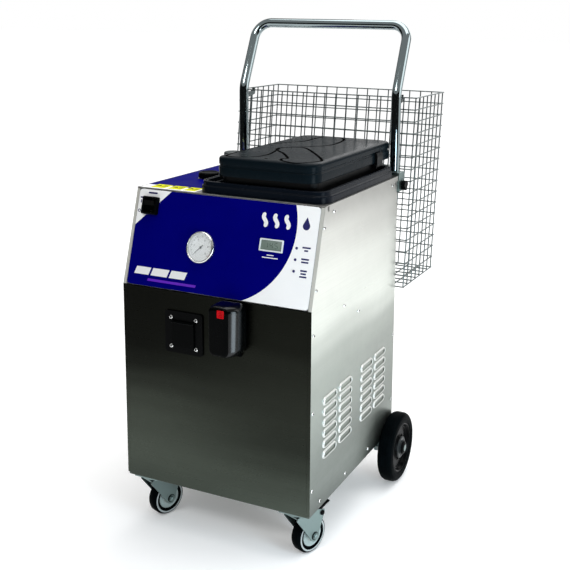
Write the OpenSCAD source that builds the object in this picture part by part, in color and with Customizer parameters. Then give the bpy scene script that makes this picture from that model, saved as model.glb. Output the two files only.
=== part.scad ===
// Commercial steam cleaner on wheels: stainless cabinet, push handle, wire basket and lift-out waste tank.
// The origin is at floor level, under the middle of the machine.
// +X is the machine's left-to-right, +Y its back.

/* [Cabinet] */
// Width over the two side panels
cabinet_width = 420; // [400:5:440]
// Depth from the front panel to the rear panel
cabinet_depth = 435; // [425:1:440]
// Height of the cabinet's underside above the floor
cabinet_bottom = 104; // [103:1:106]
// Height where the upright front ends and the sloping control panel starts
fold_height = 516; // [510:1:520]
// Height of the top panel
cabinet_top = 704; // [700:1:708]
// How far the control panel leans back over its height
panel_setback = 55; // [50:1:60]
// Thickness of the stainless sheet
sheet = 1.5; // [1.2:0.1:1.5]
// Width of the side panels' folded front edges
edge_fold = 7; // [5:0.5:9]

/* [Louvres] */
// Louvres in each column
louvre_rows = 6; // [4:1:6]
// Length of one louvre
louvre_length = 60; // [50:1:62]
// Height of one louvre's slot
louvre_slot = 7; // [5:0.5:8]
// Distance between louvres in a column
louvre_pitch = 22; // [20:0.5:22]
// Height of the lowest louvre
louvre_bottom = 210; // [200:1:230]

/* [Handle] */
// Outside diameter of the handle tube
tube_diameter = 22; // [20:1:22]
// Wall of the handle tube
tube_wall = 1.5; // [1:0.5:2]
// Distance between the centres of the handle's two legs
leg_spacing = 386; // [384:1:390]
// Distance of the legs' centres behind the front panel
leg_y = 458; // [456:1:459]
// Height of the legs' lower ends
leg_bottom = 664; // [662:1:668]
// Height where the legs start to lean back
lean_height = 882; // [876:1:890]
// Height of the top bar's centre
bar_height = 1032; // [1020:1:1050]
// How far the top bar stands behind the legs
bar_setback = 68.7; // [60:0.1:75]

/* [Basket] */
// Width of the basket over its wire centres
basket_width = 449; // [440:1:452]
// Depth of the basket over its wire centres
basket_depth = 195.7; // [180:0.1:200]
// Height of the basket's floor
basket_bottom = 447; // [440:1:450]
// Height of the basket's rim
basket_top = 872; // [860:1:874]
// How far the rim stands behind the floor
basket_lean = 51.5; // [50:0.1:55]
// Distance of the basket's floor behind the front panel
basket_front_y = 447.5; // [447:0.1:449]
// Wire thickness
wire = 3; // [2.5:0.1:3]
// Mesh cells across the width
cells_wide = 16; // [12:1:18]
// Mesh cells up the height
cells_high = 16; // [12:1:18]
// Mesh cells through the depth
cells_deep = 7; // [5:1:8]

/* [Waste tank] */
// Height of the moulded tray's rim above the top panel
rim_height = 23; // [20:1:24]
// Height of the lid's lower edge
lid_bottom = 740; // [739:1:742]
// Height of the lid
lid_height = 38; // [34:1:40]
// Depth of the lid
lid_depth = 402; // [396:1:402]
// Width of the lid
lid_width = 222; // [216:1:222]
// Wall of the mouldings
moulding_wall = 3; // [2.5:0.1:3.5]

/* [Front fittings] */
// Diameter of the pressure gauge
gauge_diameter = 62; // [58:1:64]
// How far the hose inlet's cover stands off the front panel
inlet_depth = 48; // [46:1:50]

/* [Wheels] */
// Diameter of the rear wheels
rear_wheel_diameter = 156; // [154:1:158]
// Width of the rear wheels
rear_wheel_width = 36; // [32:1:38]
// Distance of the rear axle behind the front panel
rear_axle_y = 413; // [405:1:415]
// Diameter of the castor wheels
castor_diameter = 75; // [74:1:76]
// Width of the castor wheels
castor_width = 26; // [22:1:28]
// Distance of each castor's swivel from the middle of the machine
castor_x = 169; // [160:1:170]
// Distance of the castor swivels behind the front panel
castor_y = 32; // [32:1:40]
// Distance from the swivel to the castor wheel's axle
castor_trail = 30; // [26:1:32]
// Angle at which both castors stand
castor_turn = 19; // [0:1:30]

/* [Hidden] */
$fn = 48;
// Gap between pieces that only lie against each other
gap = 0.3;
// Radial clearance of a running fit
running = 0.05;
// Radial clearance of a screw in its hole
screw_clearance = 0.1;
half_width = cabinet_width / 2;
slope_angle = atan2(panel_setback, cabinet_top - fold_height);
slope_length = norm([panel_setback, cabinet_top - fold_height]);
// Side panels stop short of the tray's lower edge, which shows as a narrow strip
side_bottom = cabinet_bottom + 5;
lip_drop = 12;
inner_half = half_width - sheet - gap;
face_half = half_width - edge_fold - gap;
tube_radius = tube_diameter / 2;
leg_x = leg_spacing / 2;
lean_angle = atan2(bar_setback, bar_height - lean_height);
lean_length = norm([bar_setback, bar_height - lean_height]);
lean_radius = 60;
corner_radius = 38;
lean_tangent = lean_radius * tan(lean_angle / 2);
basket_height = basket_top - basket_bottom;
basket_angle = atan2(basket_lean, basket_height);
basket_slant = norm([basket_lean, basket_height]);
basket_back_y = basket_front_y + basket_depth + basket_lean
    + wire / 2 * (sin(basket_angle) + cos(basket_angle));
// The machine's length runs from the hose inlet's cover to the basket's rear rim
front_y = -(basket_back_y - inlet_depth) / 2;
rim_top = cabinet_top + rim_height;
rim_centre = [66, 247];
rim_size = [282, 370];
recess_size = [258, 346];
tank_size = [212, 340];
tank_centre = [73, 247];
tank_floor = 560.3;
tub_floor = 560;
lid_centre = [73, 66 + lid_depth / 2];
latch_y = [118, 377];
latch_pivot_z = lid_bottom - 7;
float_at = [130, 370];
gauge_at = [-41, 91];
switch_at = [-170, 161];
display_at = [110, 112];
lamp_x = 163;
lamp_heights = [70, 91.5, 113];
lamp_radius = 2;
water_cap_at = [-138, 212];
detergent_cap_at = [-131, 300];
socket_at = [-66, 434];
socket_size = [86, 85];
socket_screw_spacing = [57, 59];
inlet_at = [44.5, 465];
inlet_size = [62, 102];
button_at = [0, 36];
// The cover's hinge: how far it stands off the panel, and its height from the inlet's centre
inlet_hinge = [6.6, -54.4];
knob_z = 680;
rear_radius = rear_wheel_diameter / 2;
rear_inner_x = half_width + 1.5 + gap;
axle_radius = 10;
castor_radius = castor_diameter / 2;
castor_axle_radius = 4;
plate_thickness = 3;
drain_at = [-120, 150];
gland_at = [120, 160];
side_screws = [
    [51, 664], [94, 688], [402, 688], [18, 552], [9, 468], [8, 315], [8, 158],
    [44, 121], [167, 121], [290, 121], [426, 184], [426, 340], [149, 487], [222, 455]
];
// Rear screws on the rear panel's corners and middle
rear_screws = [for (x = [-192, 0, 192], z = [122, 640]) [x, z]];

// ---- shared shapes ----

// Corner arc of an outline, as points
function corner(x, y, r, from, steps) =
    [for (i = [0:steps]) [x + r * cos(from + 90 * i / steps), y + r * sin(from + 90 * i / steps)]];

// Outline of a rectangle with rounded corners, centred
function rounded(w, d, r, steps = 6) = concat(
    corner(w / 2 - r, d / 2 - r, r, 0, steps),
    corner(-w / 2 + r, d / 2 - r, r, 90, steps),
    corner(-w / 2 + r, -d / 2 + r, r, 180, steps),
    corner(w / 2 - r, -d / 2 + r, r, 270, steps)
);

// Moves from cabinet distances, measured back from the front panel, to the shared origin
module cabinet() {
    translate([0, front_y, 0]) children();
}

// Rounded slab standing on z = 0
module slab(w, d, h, r) {
    linear_extrude(h) polygon(rounded(w, d, r));
}

// Long slot outline with blunt ends, its long side along x
module pill(length, height) {
    polygon(rounded(length, height, height * 0.36, 1));
}

// Places things on the sloping control panel: x across, z up the slope, -y out of the panel
module on_slope() {
    translate([0, 0, fold_height]) rotate([-slope_angle, 0, 0]) children();
}

// Turns z into the outward direction of the front panel, which is -y
module face_front() {
    rotate([90, 0, 0]) children();
}

// Turns z into +x
module face_right() {
    rotate([0, 90, 0]) children();
}

// Pan-head screw pointing along -z, its head on z = 0
module screw(head = 3.6, shank = 1.5, length = 4) {
    rotate_extrude()
        polygon([
            [0, -length], [shank, -length], [shank, 0], [head, 0], [head, 0.8],
            [head * 0.78, 1.7], [head * 0.4, 2.1], [0, 2.2]
        ]);
}

module screw_hole(shank = 1.5) {
    translate([0, 0, -10]) cylinder(r = shank + screw_clearance, h = 20, $fn = 16);
}

module at_side_screws() {
    for (p = side_screws) translate([half_width, p[0], p[1]]) face_right() children();
}

module at_rear_screws() {
    for (p = rear_screws) translate([p[0], cabinet_depth, p[1]]) rotate([-90, 0, 0]) children();
}

module at_socket_screws() {
    for (sx = [-1, 1], sz = [-1, 1])
        translate([
            socket_at[0] + sx * socket_screw_spacing[0] / 2,
            0,
            socket_at[1] + sz * socket_screw_spacing[1] / 2
        ])
            face_front() children();
}

// ---- cabinet ----

module base_tray() {
    depth = cabinet_depth - 2 * sheet - 2 * gap;
    color("silver") cabinet() difference() {
        translate([-inner_half, sheet + gap, cabinet_bottom]) cube([2 * inner_half, depth, 30]);
        translate([-inner_half + 2, sheet + gap + 2, cabinet_bottom + 2])
            cube([2 * inner_half - 4, depth - 4, 30]);
        for (y = [44, 167, 290], side = [-1, 1])
            translate([side * inner_half, y, 121]) face_right()
                translate([0, 0, -6]) cylinder(r = 1.5 + screw_clearance, h = 12, $fn = 16);
        at_rear_screws() screw_hole();
    }
}

module front_panel() {
    color("dimgray") cabinet() difference() {
        translate([-face_half, 0, cabinet_bottom + 2])
            cube([2 * face_half, sheet, fold_height - cabinet_bottom - 3]);
        translate([socket_at[0], 5, socket_at[1]]) face_front() slab(50, 50, 20, 5);
        translate([inlet_at[0], 5, inlet_at[1]]) face_front() cylinder(r = 26, h = 20);
        at_socket_screws() screw_hole(2);
    }
}

module control_panel() {
    color("gainsboro") cabinet() on_slope() difference() {
        translate([-face_half, 0, 1]) cube([2 * face_half, sheet, slope_length - 3]);
        slope_cutouts(sheet);
    }
}

// Holes shared by the control panel and the printed film on it
module slope_cutouts(extra) {
    depth = 10;
    translate([gauge_at[0], depth / 2, gauge_at[1]]) face_front()
        cylinder(r = gauge_diameter / 2 - 4, h = depth);
    translate([switch_at[0], depth / 2, switch_at[1]]) face_front() slab(31, 31, depth, 2);
    translate([display_at[0], depth / 2, display_at[1]]) face_front() slab(44, 19, depth, 1);
    for (z = lamp_heights)
        translate([lamp_x, depth / 2, z]) face_front() cylinder(r = lamp_radius, h = depth, $fn = 24);
}

module printed_overlay() {
    film = 0.4;
    color("navy") cabinet() {
        on_slope() difference() {
            translate([0, 0, slope_length / 2 - 0.5]) face_front()
                slab(2 * face_half - 1.6, slope_length - 4.6, film, 7);
            slope_cutouts(film);
        }
        difference() {
            translate([-half_width + 3, panel_setback + 4, cabinet_top])
                cube([
                    rim_centre[0] - rim_size[0] / 2 - 2 + half_width - 3,
                    cabinet_depth - panel_setback - 16,
                    film
                ]);
            translate([water_cap_at[0], water_cap_at[1], cabinet_top - 1]) cylinder(r = 24, h = 4);
            translate([detergent_cap_at[0], detergent_cap_at[1], cabinet_top - 1]) cylinder(r = 20, h = 4);
        }
    }
}

// Outline of the cabinet's side, in the plane of y and z
function side_outline(bottom) = [
    [0, bottom], [cabinet_depth, bottom], [cabinet_depth, cabinet_top - sheet],
    [panel_setback + sheet / 2, cabinet_top - sheet], [0, fold_height]
];

module right_side_panel() {
    color("silver") cabinet() difference() {
        union() {
            translate([half_width - sheet, 0, 0])
                multmatrix_side() linear_extrude(sheet) polygon(side_outline(side_bottom));
            translate([half_width - edge_fold, 0, side_bottom])
                cube([edge_fold - sheet / 2, sheet, fold_height - side_bottom]);
            on_slope() translate([half_width - edge_fold, 0, 0.5])
                cube([edge_fold - sheet / 2, sheet, slope_length - 3]);
            louvre_rims();
        }
        translate([half_width - sheet - 1, 0, 0]) louvre_slots();
        at_side_screws() screw_hole();
    }
}

// Stands a drawing of y and z up in the plane of the side panel, facing +x
module multmatrix_side() {
    rotate([90, 0, 90]) children();
}

module left_side_panel() {
    mirror([1, 0, 0]) right_side_panel();
}

module at_louvres() {
    for (y = [85, 160, 272, 347], row = [0:louvre_rows - 1])
        translate([0, y, louvre_bottom + row * louvre_pitch]) children();
}

module louvre_slots() {
    at_louvres() multmatrix_side() linear_extrude(sheet + 5) pill(louvre_length - 8, louvre_slot);
}

// The pressed rim that stands up around each slot
module louvre_rims() {
    at_louvres() translate([half_width - 0.5, 0, 0]) multmatrix_side() linear_extrude(3.1)
        pill(louvre_length, louvre_slot + 8);
}

module rear_panel() {
    color("silver") cabinet() difference() {
        translate([-inner_half, cabinet_depth - sheet, cabinet_bottom + 2])
            cube([2 * inner_half, sheet, cabinet_top - cabinet_bottom - 4]);
        translate([drain_at[0], cabinet_depth, drain_at[1]]) face_front()
            translate([0, 0, -10]) cylinder(r = 11, h = 20);
        translate([gland_at[0], cabinet_depth, gland_at[1]]) face_front()
            translate([0, 0, -10]) cylinder(r = 10.2, h = 20);
        at_rear_screws() screw_hole();
        for (row = [0:7])
            translate([60, cabinet_depth - 5, 250 + row * 16])
                multmatrix_rear() linear_extrude(10) pill(110, 5);
    }
}

module multmatrix_rear() {
    rotate([-90, 0, 0]) children();
}

module top_panel() {
    color("silver") cabinet() difference() {
        union() {
            translate([-half_width - sheet, panel_setback + 1, cabinet_top - sheet])
                cube([cabinet_width + 2 * sheet, cabinet_depth - panel_setback - 1, sheet]);
            for (side = [-1, 1])
                translate([
                    side * (half_width + sheet / 2) - sheet / 2,
                    panel_setback + 14,
                    cabinet_top - lip_drop
                ])
                    cube([sheet, cabinet_depth - panel_setback - 14, lip_drop - sheet / 2]);
        }
        translate([rim_centre[0], rim_centre[1], cabinet_top - 5])
            slab(recess_size[0] + 2 * moulding_wall + 1, recess_size[1] + 2 * moulding_wall + 1, 10, 20);
        translate([water_cap_at[0], water_cap_at[1], cabinet_top - 5]) cylinder(r = 18.5, h = 10);
        translate([detergent_cap_at[0], detergent_cap_at[1], cabinet_top - 5]) cylinder(r = 15.5, h = 10);
    }
}

module panel_screws() {
    color("lightgray") cabinet() {
        for (side = [0, 1]) mirror([side, 0, 0]) at_side_screws() screw();
        at_rear_screws() screw();
        at_socket_screws() translate([0, 0, 3.3]) screw(head = 4, shank = 2, length = 8);
    }
}

// ---- handle ----

// The tube's cross-section
module tube_section() {
    difference() {
        circle(r = tube_radius);
        circle(r = tube_radius - tube_wall);
    }
}

// Lower leg of the handle with the bend at its top
module handle_leg() {
    straight_top = lean_height - lean_tangent;
    translate([leg_x, leg_y, leg_bottom]) linear_extrude(straight_top - leg_bottom) tube_section();
    translate([leg_x, leg_y + lean_radius, straight_top]) rotate([90, 0, -90])
        rotate_extrude(angle = lean_angle) translate([lean_radius, 0]) tube_section();
}

// Upper bow of the handle, drawn upright; it meets the legs at hairline seams
module handle_bow() {
    seam = 0.02;
    for (side = [0, 1]) rotate([0, 0, side * 180]) {
        translate([leg_x, 0, lean_tangent + seam])
            linear_extrude(lean_length - lean_tangent - corner_radius - seam) tube_section();
        translate([leg_x - corner_radius, 0, lean_length - corner_radius]) rotate([90, 0, 0])
            rotate_extrude(angle = 90) translate([corner_radius, 0]) tube_section();
    }
    translate([-leg_x + corner_radius, 0, lean_length]) face_right()
        linear_extrude(leg_spacing - 2 * corner_radius) tube_section();
}

module handle_tube() {
    color("lightgray") cabinet() {
        for (side = [0, 1]) mirror([side, 0, 0]) handle_leg();
        translate([0, leg_y, lean_height]) rotate([-lean_angle, 0, 0]) handle_bow();
    }
}

module handle_clamps() {
    block = [35, 34, 42];
    color("gray") cabinet() for (side = [0, 1]) mirror([side, 0, 0]) difference() {
        translate([178, cabinet_depth + 0.5, 668]) cube(block);
        translate([leg_x, leg_y, 660]) cylinder(r = tube_radius + running, h = 60);
        translate([leg_x, leg_y, knob_z]) face_right() cylinder(r = 4.05, h = 40, $fn = 24);
    }
}

// Three-lobed clamping knob with its threaded stud
module clamp_knob() {
    translate([213.5, leg_y, knob_z]) face_right() {
        difference() {
            cylinder(r = 11, h = 9);
            for (a = [60, 180, 300])
                rotate([0, 0, a]) translate([14, 0, -1]) cylinder(r = 6.5, h = 11);
        }
        translate([0, 0, -9.2]) cylinder(r = 4, h = 10, $fn = 24);
    }
}

module clamp_knob_right() {
    color("black") cabinet() clamp_knob();
}

module clamp_knob_left() {
    color("black") cabinet() mirror([1, 0, 0]) clamp_knob();
}

// ---- basket ----

// Welded mesh panel, flat on z = 0, cells given as columns and rows
module mesh_panel(w, h, columns, rows) {
    pitch_x = w / columns;
    pitch_y = h / rows;
    linear_extrude(wire) difference() {
        translate([-w / 2 - wire / 2, -wire / 2]) square([w + wire, h + wire]);
        for (i = [0:columns - 1], j = [0:rows - 1])
            translate([-w / 2 + i * pitch_x + wire / 2, j * pitch_y + wire / 2])
                square([pitch_x - wire, pitch_y - wire]);
    }
}

// Places a panel in the basket's leaning front plane
module basket_plane(back) {
    translate([0, basket_front_y + back, basket_bottom]) rotate([90 - basket_angle, 0, 0])
        translate([0, 0, -wire / 2]) children();
}

module basket_front() {
    color("gray") cabinet() basket_plane(0) mesh_panel(basket_width, basket_slant, cells_wide, cells_high);
}

module basket_back() {
    color("gray") cabinet() basket_plane(basket_depth)
        mesh_panel(basket_width, basket_slant, cells_wide, cells_high);
}

// A point in the side of the basket: fractions of its depth and height
function side_point(u, v) = [
    basket_front_y + u * basket_depth + v * basket_lean,
    basket_bottom + v * basket_height
];

module basket_side() {
    margin = wire / 2 / basket_depth;
    margin_z = wire / 2 / basket_height;
    edge = wire / cos(basket_angle) / basket_depth / 2 + 0.002;
    rotate([90, 0, 90]) linear_extrude(wire) difference() {
        polygon([
            side_point(edge, -margin_z), side_point(1 - edge, -margin_z),
            side_point(1 - edge, 1 + margin_z), side_point(edge, 1 + margin_z)
        ]);
        for (i = [0:cells_deep - 1], j = [0:cells_high - 1])
            polygon([
                side_point(i / cells_deep + 1.4 * margin, j / cells_high + margin_z),
                side_point((i + 1) / cells_deep - 1.4 * margin, j / cells_high + margin_z),
                side_point((i + 1) / cells_deep - 1.4 * margin, (j + 1) / cells_high - margin_z),
                side_point(i / cells_deep + 1.4 * margin, (j + 1) / cells_high - margin_z)
            ]);
    }
}

module basket_sides() {
    color("gray") cabinet() for (side = [0, 1]) mirror([side, 0, 0])
        translate([basket_width / 2 - wire / 2, 0, 0]) basket_side();
}

module basket_base() {
    inset = 3.4;
    color("gray") cabinet() translate([0, basket_front_y + inset, basket_bottom - wire / 2])
        mesh_panel(basket_width - 2 * wire - 1, basket_depth - 2 * inset, cells_wide, cells_deep);
}

module basket_hooks() {
    hook_x = 191;
    rim_y = basket_front_y + basket_lean;
    color("gray") cabinet() for (side = [0, 1]) mirror([side, 0, 0]) {
        translate([hook_x - 2, 0, 0]) rotate([90, 0, 90]) linear_extrude(4)
            polygon([
                [leg_y + tube_radius + 0.02, 856], [rim_y + 4, 862], [rim_y + 6.5, 866], [rim_y + 6.5, 878],
                [rim_y + 3, 878], [rim_y + 3, 869.8], [leg_y + tube_radius + 0.02, 869.8]
            ]);
        translate([150, cabinet_depth + 0.01, basket_bottom - 6]) cube([40, 10.2, 14]);
    }
}

// ---- waste tank ----

module tub_tray() {
    wall = moulding_wall;
    color("#1c1d1f") cabinet() translate([rim_centre[0], rim_centre[1], 0]) difference() {
        union() {
            translate([0, 0, cabinet_top + 0.02]) slab(rim_size[0], rim_size[1], rim_height - 8, 30);
            translate([0, 0, cabinet_top + rim_height - 8]) slab(rim_size[0] - 6, rim_size[1] - 6, 8, 27);
            translate([0, 0, tub_floor - wall])
                slab(
                    recess_size[0] + 2 * wall,
                    recess_size[1] + 2 * wall,
                    cabinet_top - tub_floor + wall + 2,
                    20
                );
        }
        translate([0, 0, tub_floor]) slab(recess_size[0], recess_size[1], 200, 18);
    }
}

module waste_tank() {
    wall = moulding_wall;
    flange_z = lid_bottom - 12;
    color("#202224") cabinet() {
        translate([tank_centre[0], tank_centre[1], 0]) difference() {
            union() {
                translate([0, 0, tank_floor])
                    slab(tank_size[0] - 14, tank_size[1] - 14, flange_z - tank_floor + 1, 22);
                translate([0, 0, flange_z]) slab(tank_size[0], tank_size[1], 12 - gap, 24);
            }
            translate([0, 0, tank_floor + wall])
                slab(tank_size[0] - 14 - 2 * wall, tank_size[1] - 14 - 2 * wall, 300, 19);
        }
        // Guide rod of the float, standing on the tank's floor
        translate([float_at[0], float_at[1], tank_floor + wall - 0.01]) cylinder(r = 4, h = 150);
        latch_ears(latch_y[1]);
        translate([2 * tank_centre[0], 0, 0]) mirror([1, 0, 0]) latch_ears(latch_y[0]);
    }
}

module tank_float() {
    color("orange") cabinet() translate([float_at[0], float_at[1], 640]) difference() {
        rotate_extrude() polygon([[0, 0], [20, 0], [24, 5], [24, 25], [20, 30], [0, 30]]);
        translate([0, 0, -1]) cylinder(r = 4 + 0.08, h = 32);
    }
}

module tank_lid() {
    wall = moulding_wall;
    color("#2a2c2e") cabinet() translate([lid_centre[0], lid_centre[1], lid_bottom]) difference() {
        union() {
            slab(lid_width, lid_depth, lid_height - 8, 30);
            translate([0, 0, lid_height - 8]) slab(lid_width - 2, lid_depth - 2, 4, 29);
            translate([0, 0, lid_height - 4]) slab(lid_width - 6, lid_depth - 6, 4, 27);
        }
        translate([0, 0, -1]) slab(lid_width - 2 * wall, lid_depth - 2 * wall, lid_height - wall - 3, 27);
    }
}

module lid_seal() {
    color("black") cabinet() translate([tank_centre[0], tank_centre[1], lid_bottom + 0.01]) difference() {
        slab(tank_size[0] - 2, tank_size[1] - 2, 5, 23);
        translate([0, 0, -1]) slab(tank_size[0] - 16, tank_size[1] - 16, 8, 18);
    }
}

// Latch on the tank's edge: a pad that lies against the lid's side and swings outwards on a pin
module latch(y) {
    translate([lid_centre[0] + lid_width / 2 + 0.5, y, latch_pivot_z]) rotate([90, 0, 0]) difference() {
        translate([0, 0, -16]) linear_extrude(32)
            polygon([[0, -2], [1, -3], [4, -3], [5.5, 0], [5.5, 21], [4, 29], [0, 29]]);
        translate([2.5, 0, -20]) cylinder(r = 1.5 + running, h = 40, $fn = 24);
    }
}

// Ears on the tank that hold a latch's pin
module latch_ears(y) {
    from = tank_centre[0] + tank_size[0] / 2 - 1;
    to = lid_centre[0] + lid_width / 2 + 5;
    for (ear = [-19.6, 16.4]) translate([from, y + ear, latch_pivot_z - 4]) cube([to - from, 3.2, 8]);
    translate([lid_centre[0] + lid_width / 2 + 3, y + 18, latch_pivot_z]) rotate([90, 0, 0])
        cylinder(r = 1.5, h = 36, $fn = 24);
}

module lid_latch_right() {
    color("#1a1a1a") cabinet() latch(latch_y[1]);
}

module lid_latch_left() {
    color("#1a1a1a") cabinet() translate([2 * lid_centre[0], 0, 0]) mirror([1, 0, 0]) latch(latch_y[0]);
}

// Screw cap with a short neck below it; z = 0 is the top panel
module filler_cap(radius, neck, rise, height, ribs) {
    difference() {
        union() {
            translate([0, 0, rise]) cylinder(r = radius, h = height - 2);
            translate([0, 0, rise + height - 2.01]) cylinder(r1 = radius, r2 = radius - 2, h = 2.01);
        }
        for (i = [0:ribs - 1]) rotate([0, 0, i * 360 / ribs]) translate([radius + 1, 0, rise - 1])
            cylinder(r = 2, h = height - 3, $fn = 16);
    }
    translate([0, 0, rise - 12]) cylinder(r = neck, h = 12.5);
}

module water_cap() {
    color("#151515") cabinet() translate([water_cap_at[0], water_cap_at[1], cabinet_top])
        filler_cap(23, 15, 1.6, 12, 16);
}

module detergent_cap() {
    color("darkslategray") cabinet() translate([detergent_cap_at[0], detergent_cap_at[1], cabinet_top])
        filler_cap(20, 12, 32, 15, 16);
}

// ---- controls ----

module switch_housing() {
    color("#111111") cabinet() on_slope() translate([switch_at[0], 0, switch_at[1]]) difference() {
        union() {
            translate([0, -0.4, 0]) face_front() slab(36, 36, 9, 3);
            translate([0, 20, 0]) face_front() slab(30, 30, 20.5, 2);
        }
        translate([0, 15, 0]) face_front() slab(26, 28, 30, 1);
    }
}

module switch_rocker() {
    color("#1b1b1b") cabinet() on_slope() translate([switch_at[0], 0, switch_at[1]])
        multmatrix_side() translate([0, 0, -12.5]) linear_extrude(25)
            polygon([[8, -5], [8, 5], [-5, 10.5], [-12.5, 9.5], [-8.2, 0], [-7, -9.5], [-2, -10.5]]);
}

module gauge_case() {
    radius = gauge_diameter / 2;
    color("lightgray") cabinet() on_slope() translate([gauge_at[0], -0.4, gauge_at[1]]) face_front() {
        rotate_extrude($fn = 64) polygon([
            [0, -32], [radius - 5, -32], [radius - 5, 0], [radius, 0], [radius, 6], [radius - 1.5, 8.5],
            [radius - 4, 8.5], [radius - 4, 2], [3, 2], [3, 4], [0, 4]
        ]);
    }
}

module gauge_needle() {
    color("black") cabinet() on_slope() translate([gauge_at[0], -0.4, gauge_at[1]]) face_front()
        translate([0, 0, 4.2]) rotate([0, 0, 225]) linear_extrude(0.8)
            polygon([[-8, -1.4], [-8, 1.4], [0, 2.2], [21, 0.5], [21, -0.5], [0, -2.2]]);
}

module gauge_glass() {
    radius = gauge_diameter / 2;
    color("azure", 0.3) cabinet() on_slope() translate([gauge_at[0], -0.4, gauge_at[1]]) face_front()
        translate([0, 0, 6]) cylinder(r = radius - 4.1, h = 1.5, $fn = 64);
}

module display() {
    at = [display_at[0], -0.4, display_at[1]];
    color("slategray") cabinet() on_slope() translate(at) face_front() difference() {
        union() {
            slab(50, 24, 2.5, 1.5);
            translate([0, 0, -20]) slab(43.5, 18.5, 20.5, 1);
        }
        translate([0, 0, 1.5]) slab(44, 18, 5, 1);
    }
}

module indicator_lights() {
    color("white") cabinet() on_slope() for (z = lamp_heights)
        translate([lamp_x, -0.4, z]) face_front() {
            rotate_extrude($fn = 24) polygon([
                [0, -12], [lamp_radius - 0.2, -12], [lamp_radius - 0.2, 0],
                [2.6, 0], [2.6, 0.6], [1.8, 0.8], [1.2, 1.6], [0, 1.9]
            ]);
        }
}

module socket_body() {
    color("#141414") cabinet() translate([socket_at[0], 0, socket_at[1]]) face_front() difference() {
        union() {
            slab(socket_size[0], socket_size[1], 3.3, 6);
            translate([0, 0, -30]) slab(48, 48, 31, 4);
            for (side = [-1, 1]) translate([side * 24.2 - 1.8, 21.5, 0]) {
                translate([0, -3, 0]) cube([3.6, 6, 6.5]);
                translate([0, 0, 6.5]) face_right() cylinder(r = 3, h = 3.6, $fn = 24);
            }
        }
        translate([0, -4, -26]) slab(40, 36, 40, 3);
        for (sx = [-1, 1], sy = [-1, 1])
            translate([sx * socket_screw_spacing[0] / 2, sy * socket_screw_spacing[1] / 2, 0]) screw_hole(2);
        translate([-27, 21.5, 6.5]) face_right() cylinder(r = 1.5 + running, h = 54, $fn = 24);
    }
}

// Sprung flap over the socket, on stub pins at its upper end
module socket_flap() {
    color("#0e0e0e") cabinet() translate([socket_at[0], 0, socket_at[1]]) face_front() {
        translate([0, -5, 3.7]) slab(50, 46, 3, 4);
        translate([-22, 14, 3.7]) cube([44, 7.5, 3]);
        translate([-22, 21.5, 6.5]) face_right() cylinder(r = 2.6, h = 44, $fn = 24);
        translate([-26, 21.5, 6.5]) face_right() cylinder(r = 1.5, h = 52, $fn = 24);
    }
}

// Base of the hose inlet: a flange on the front panel with the hose's bore and the cover's hinge ears
module inlet_housing() {
    hinge_y = inlet_hinge[1];
    hinge_z = inlet_hinge[0];
    color("#101010") cabinet() translate([inlet_at[0], 0, inlet_at[1]]) face_front() {
        difference() {
            union() {
                slab(inlet_size[0] - 6, inlet_size[1] - 6, 5, 16);
                cylinder(r = 23, h = 17);
                translate([0, 0, -40]) cylinder(r = 25, h = 41);
                translate([-18, hinge_y - 4, 0]) cube([36, 12, 3]);
                for (ear = [-18, 14]) translate([ear, hinge_y, 0]) {
                    translate([0, -2.6, 0]) cube([4, 5.2, hinge_z]);
                    translate([0, 0, hinge_z]) face_right() cylinder(r = 2.6, h = 4, $fn = 24);
                }
            }
            translate([0, 0, -50]) cylinder(r = 18, h = 80);
        }
        translate([-16, hinge_y, hinge_z]) face_right() cylinder(r = 1.4, h = 32, $fn = 24);
    }
}

// Cover of the hose inlet, hinged along its lower edge
module inlet_cover() {
    w = inlet_size[0];
    h = inlet_size[1];
    hinge_y = inlet_hinge[1];
    hinge_z = inlet_hinge[0];
    color("#080808") cabinet() translate([inlet_at[0], 0, inlet_at[1]]) face_front() difference() {
        union() {
            translate([0, 0, 6.2]) slab(w, h, inlet_depth - 17, 18);
            translate([0, 0, inlet_depth - 10.9]) slab(w - 3, h - 3, 6, 17);
            translate([0, 0, inlet_depth - 5]) slab(w - 8, h - 8, 5, 15);
            translate([-13.6, hinge_y, hinge_z]) face_right() cylinder(r = 2.6, h = 27.2, $fn = 24);
            translate([-13.6, hinge_y, hinge_z + 0.4]) cube([27.2, 4.5, 2.2]);
        }
        translate([0, 0, 5]) slab(w - 8, h - 8, inlet_depth - 13, 15);
        translate([button_at[0], button_at[1], 10]) slab(16.2, 16.2, 60, 2);
        translate([-20, hinge_y, hinge_z]) face_right() cylinder(r = 1.4 + running, h = 40, $fn = 24);
    }
}

module release_button() {
    at = [inlet_at[0] + button_at[0], 0, inlet_at[1] + button_at[1]];
    color("red") cabinet() translate(at) face_front() {
        translate([0, 0, inlet_depth - 8.5]) slab(15.6, 15.6, 8.5, 2);
        translate([0, 0, inlet_depth - 10.1]) slab(19.2, 19.2, 1.61, 2);
    }
}

// ---- rear fittings ----

module power_gland() {
    at = [gland_at[0], cabinet_depth, gland_at[1]];
    color("#181818") cabinet() translate(at) rotate([-90, 0, 0]) difference() {
        union() {
            translate([0, 0, -16]) cylinder(r = 10, h = 17);
            translate([0, 0, 0.01]) cylinder(r = 14, h = 8, $fn = 6);
            translate([0, 0, 8]) cylinder(r = 11, h = 12);
        }
        translate([0, 0, -20]) cylinder(r = 4.5, h = 50);
    }
}

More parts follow.
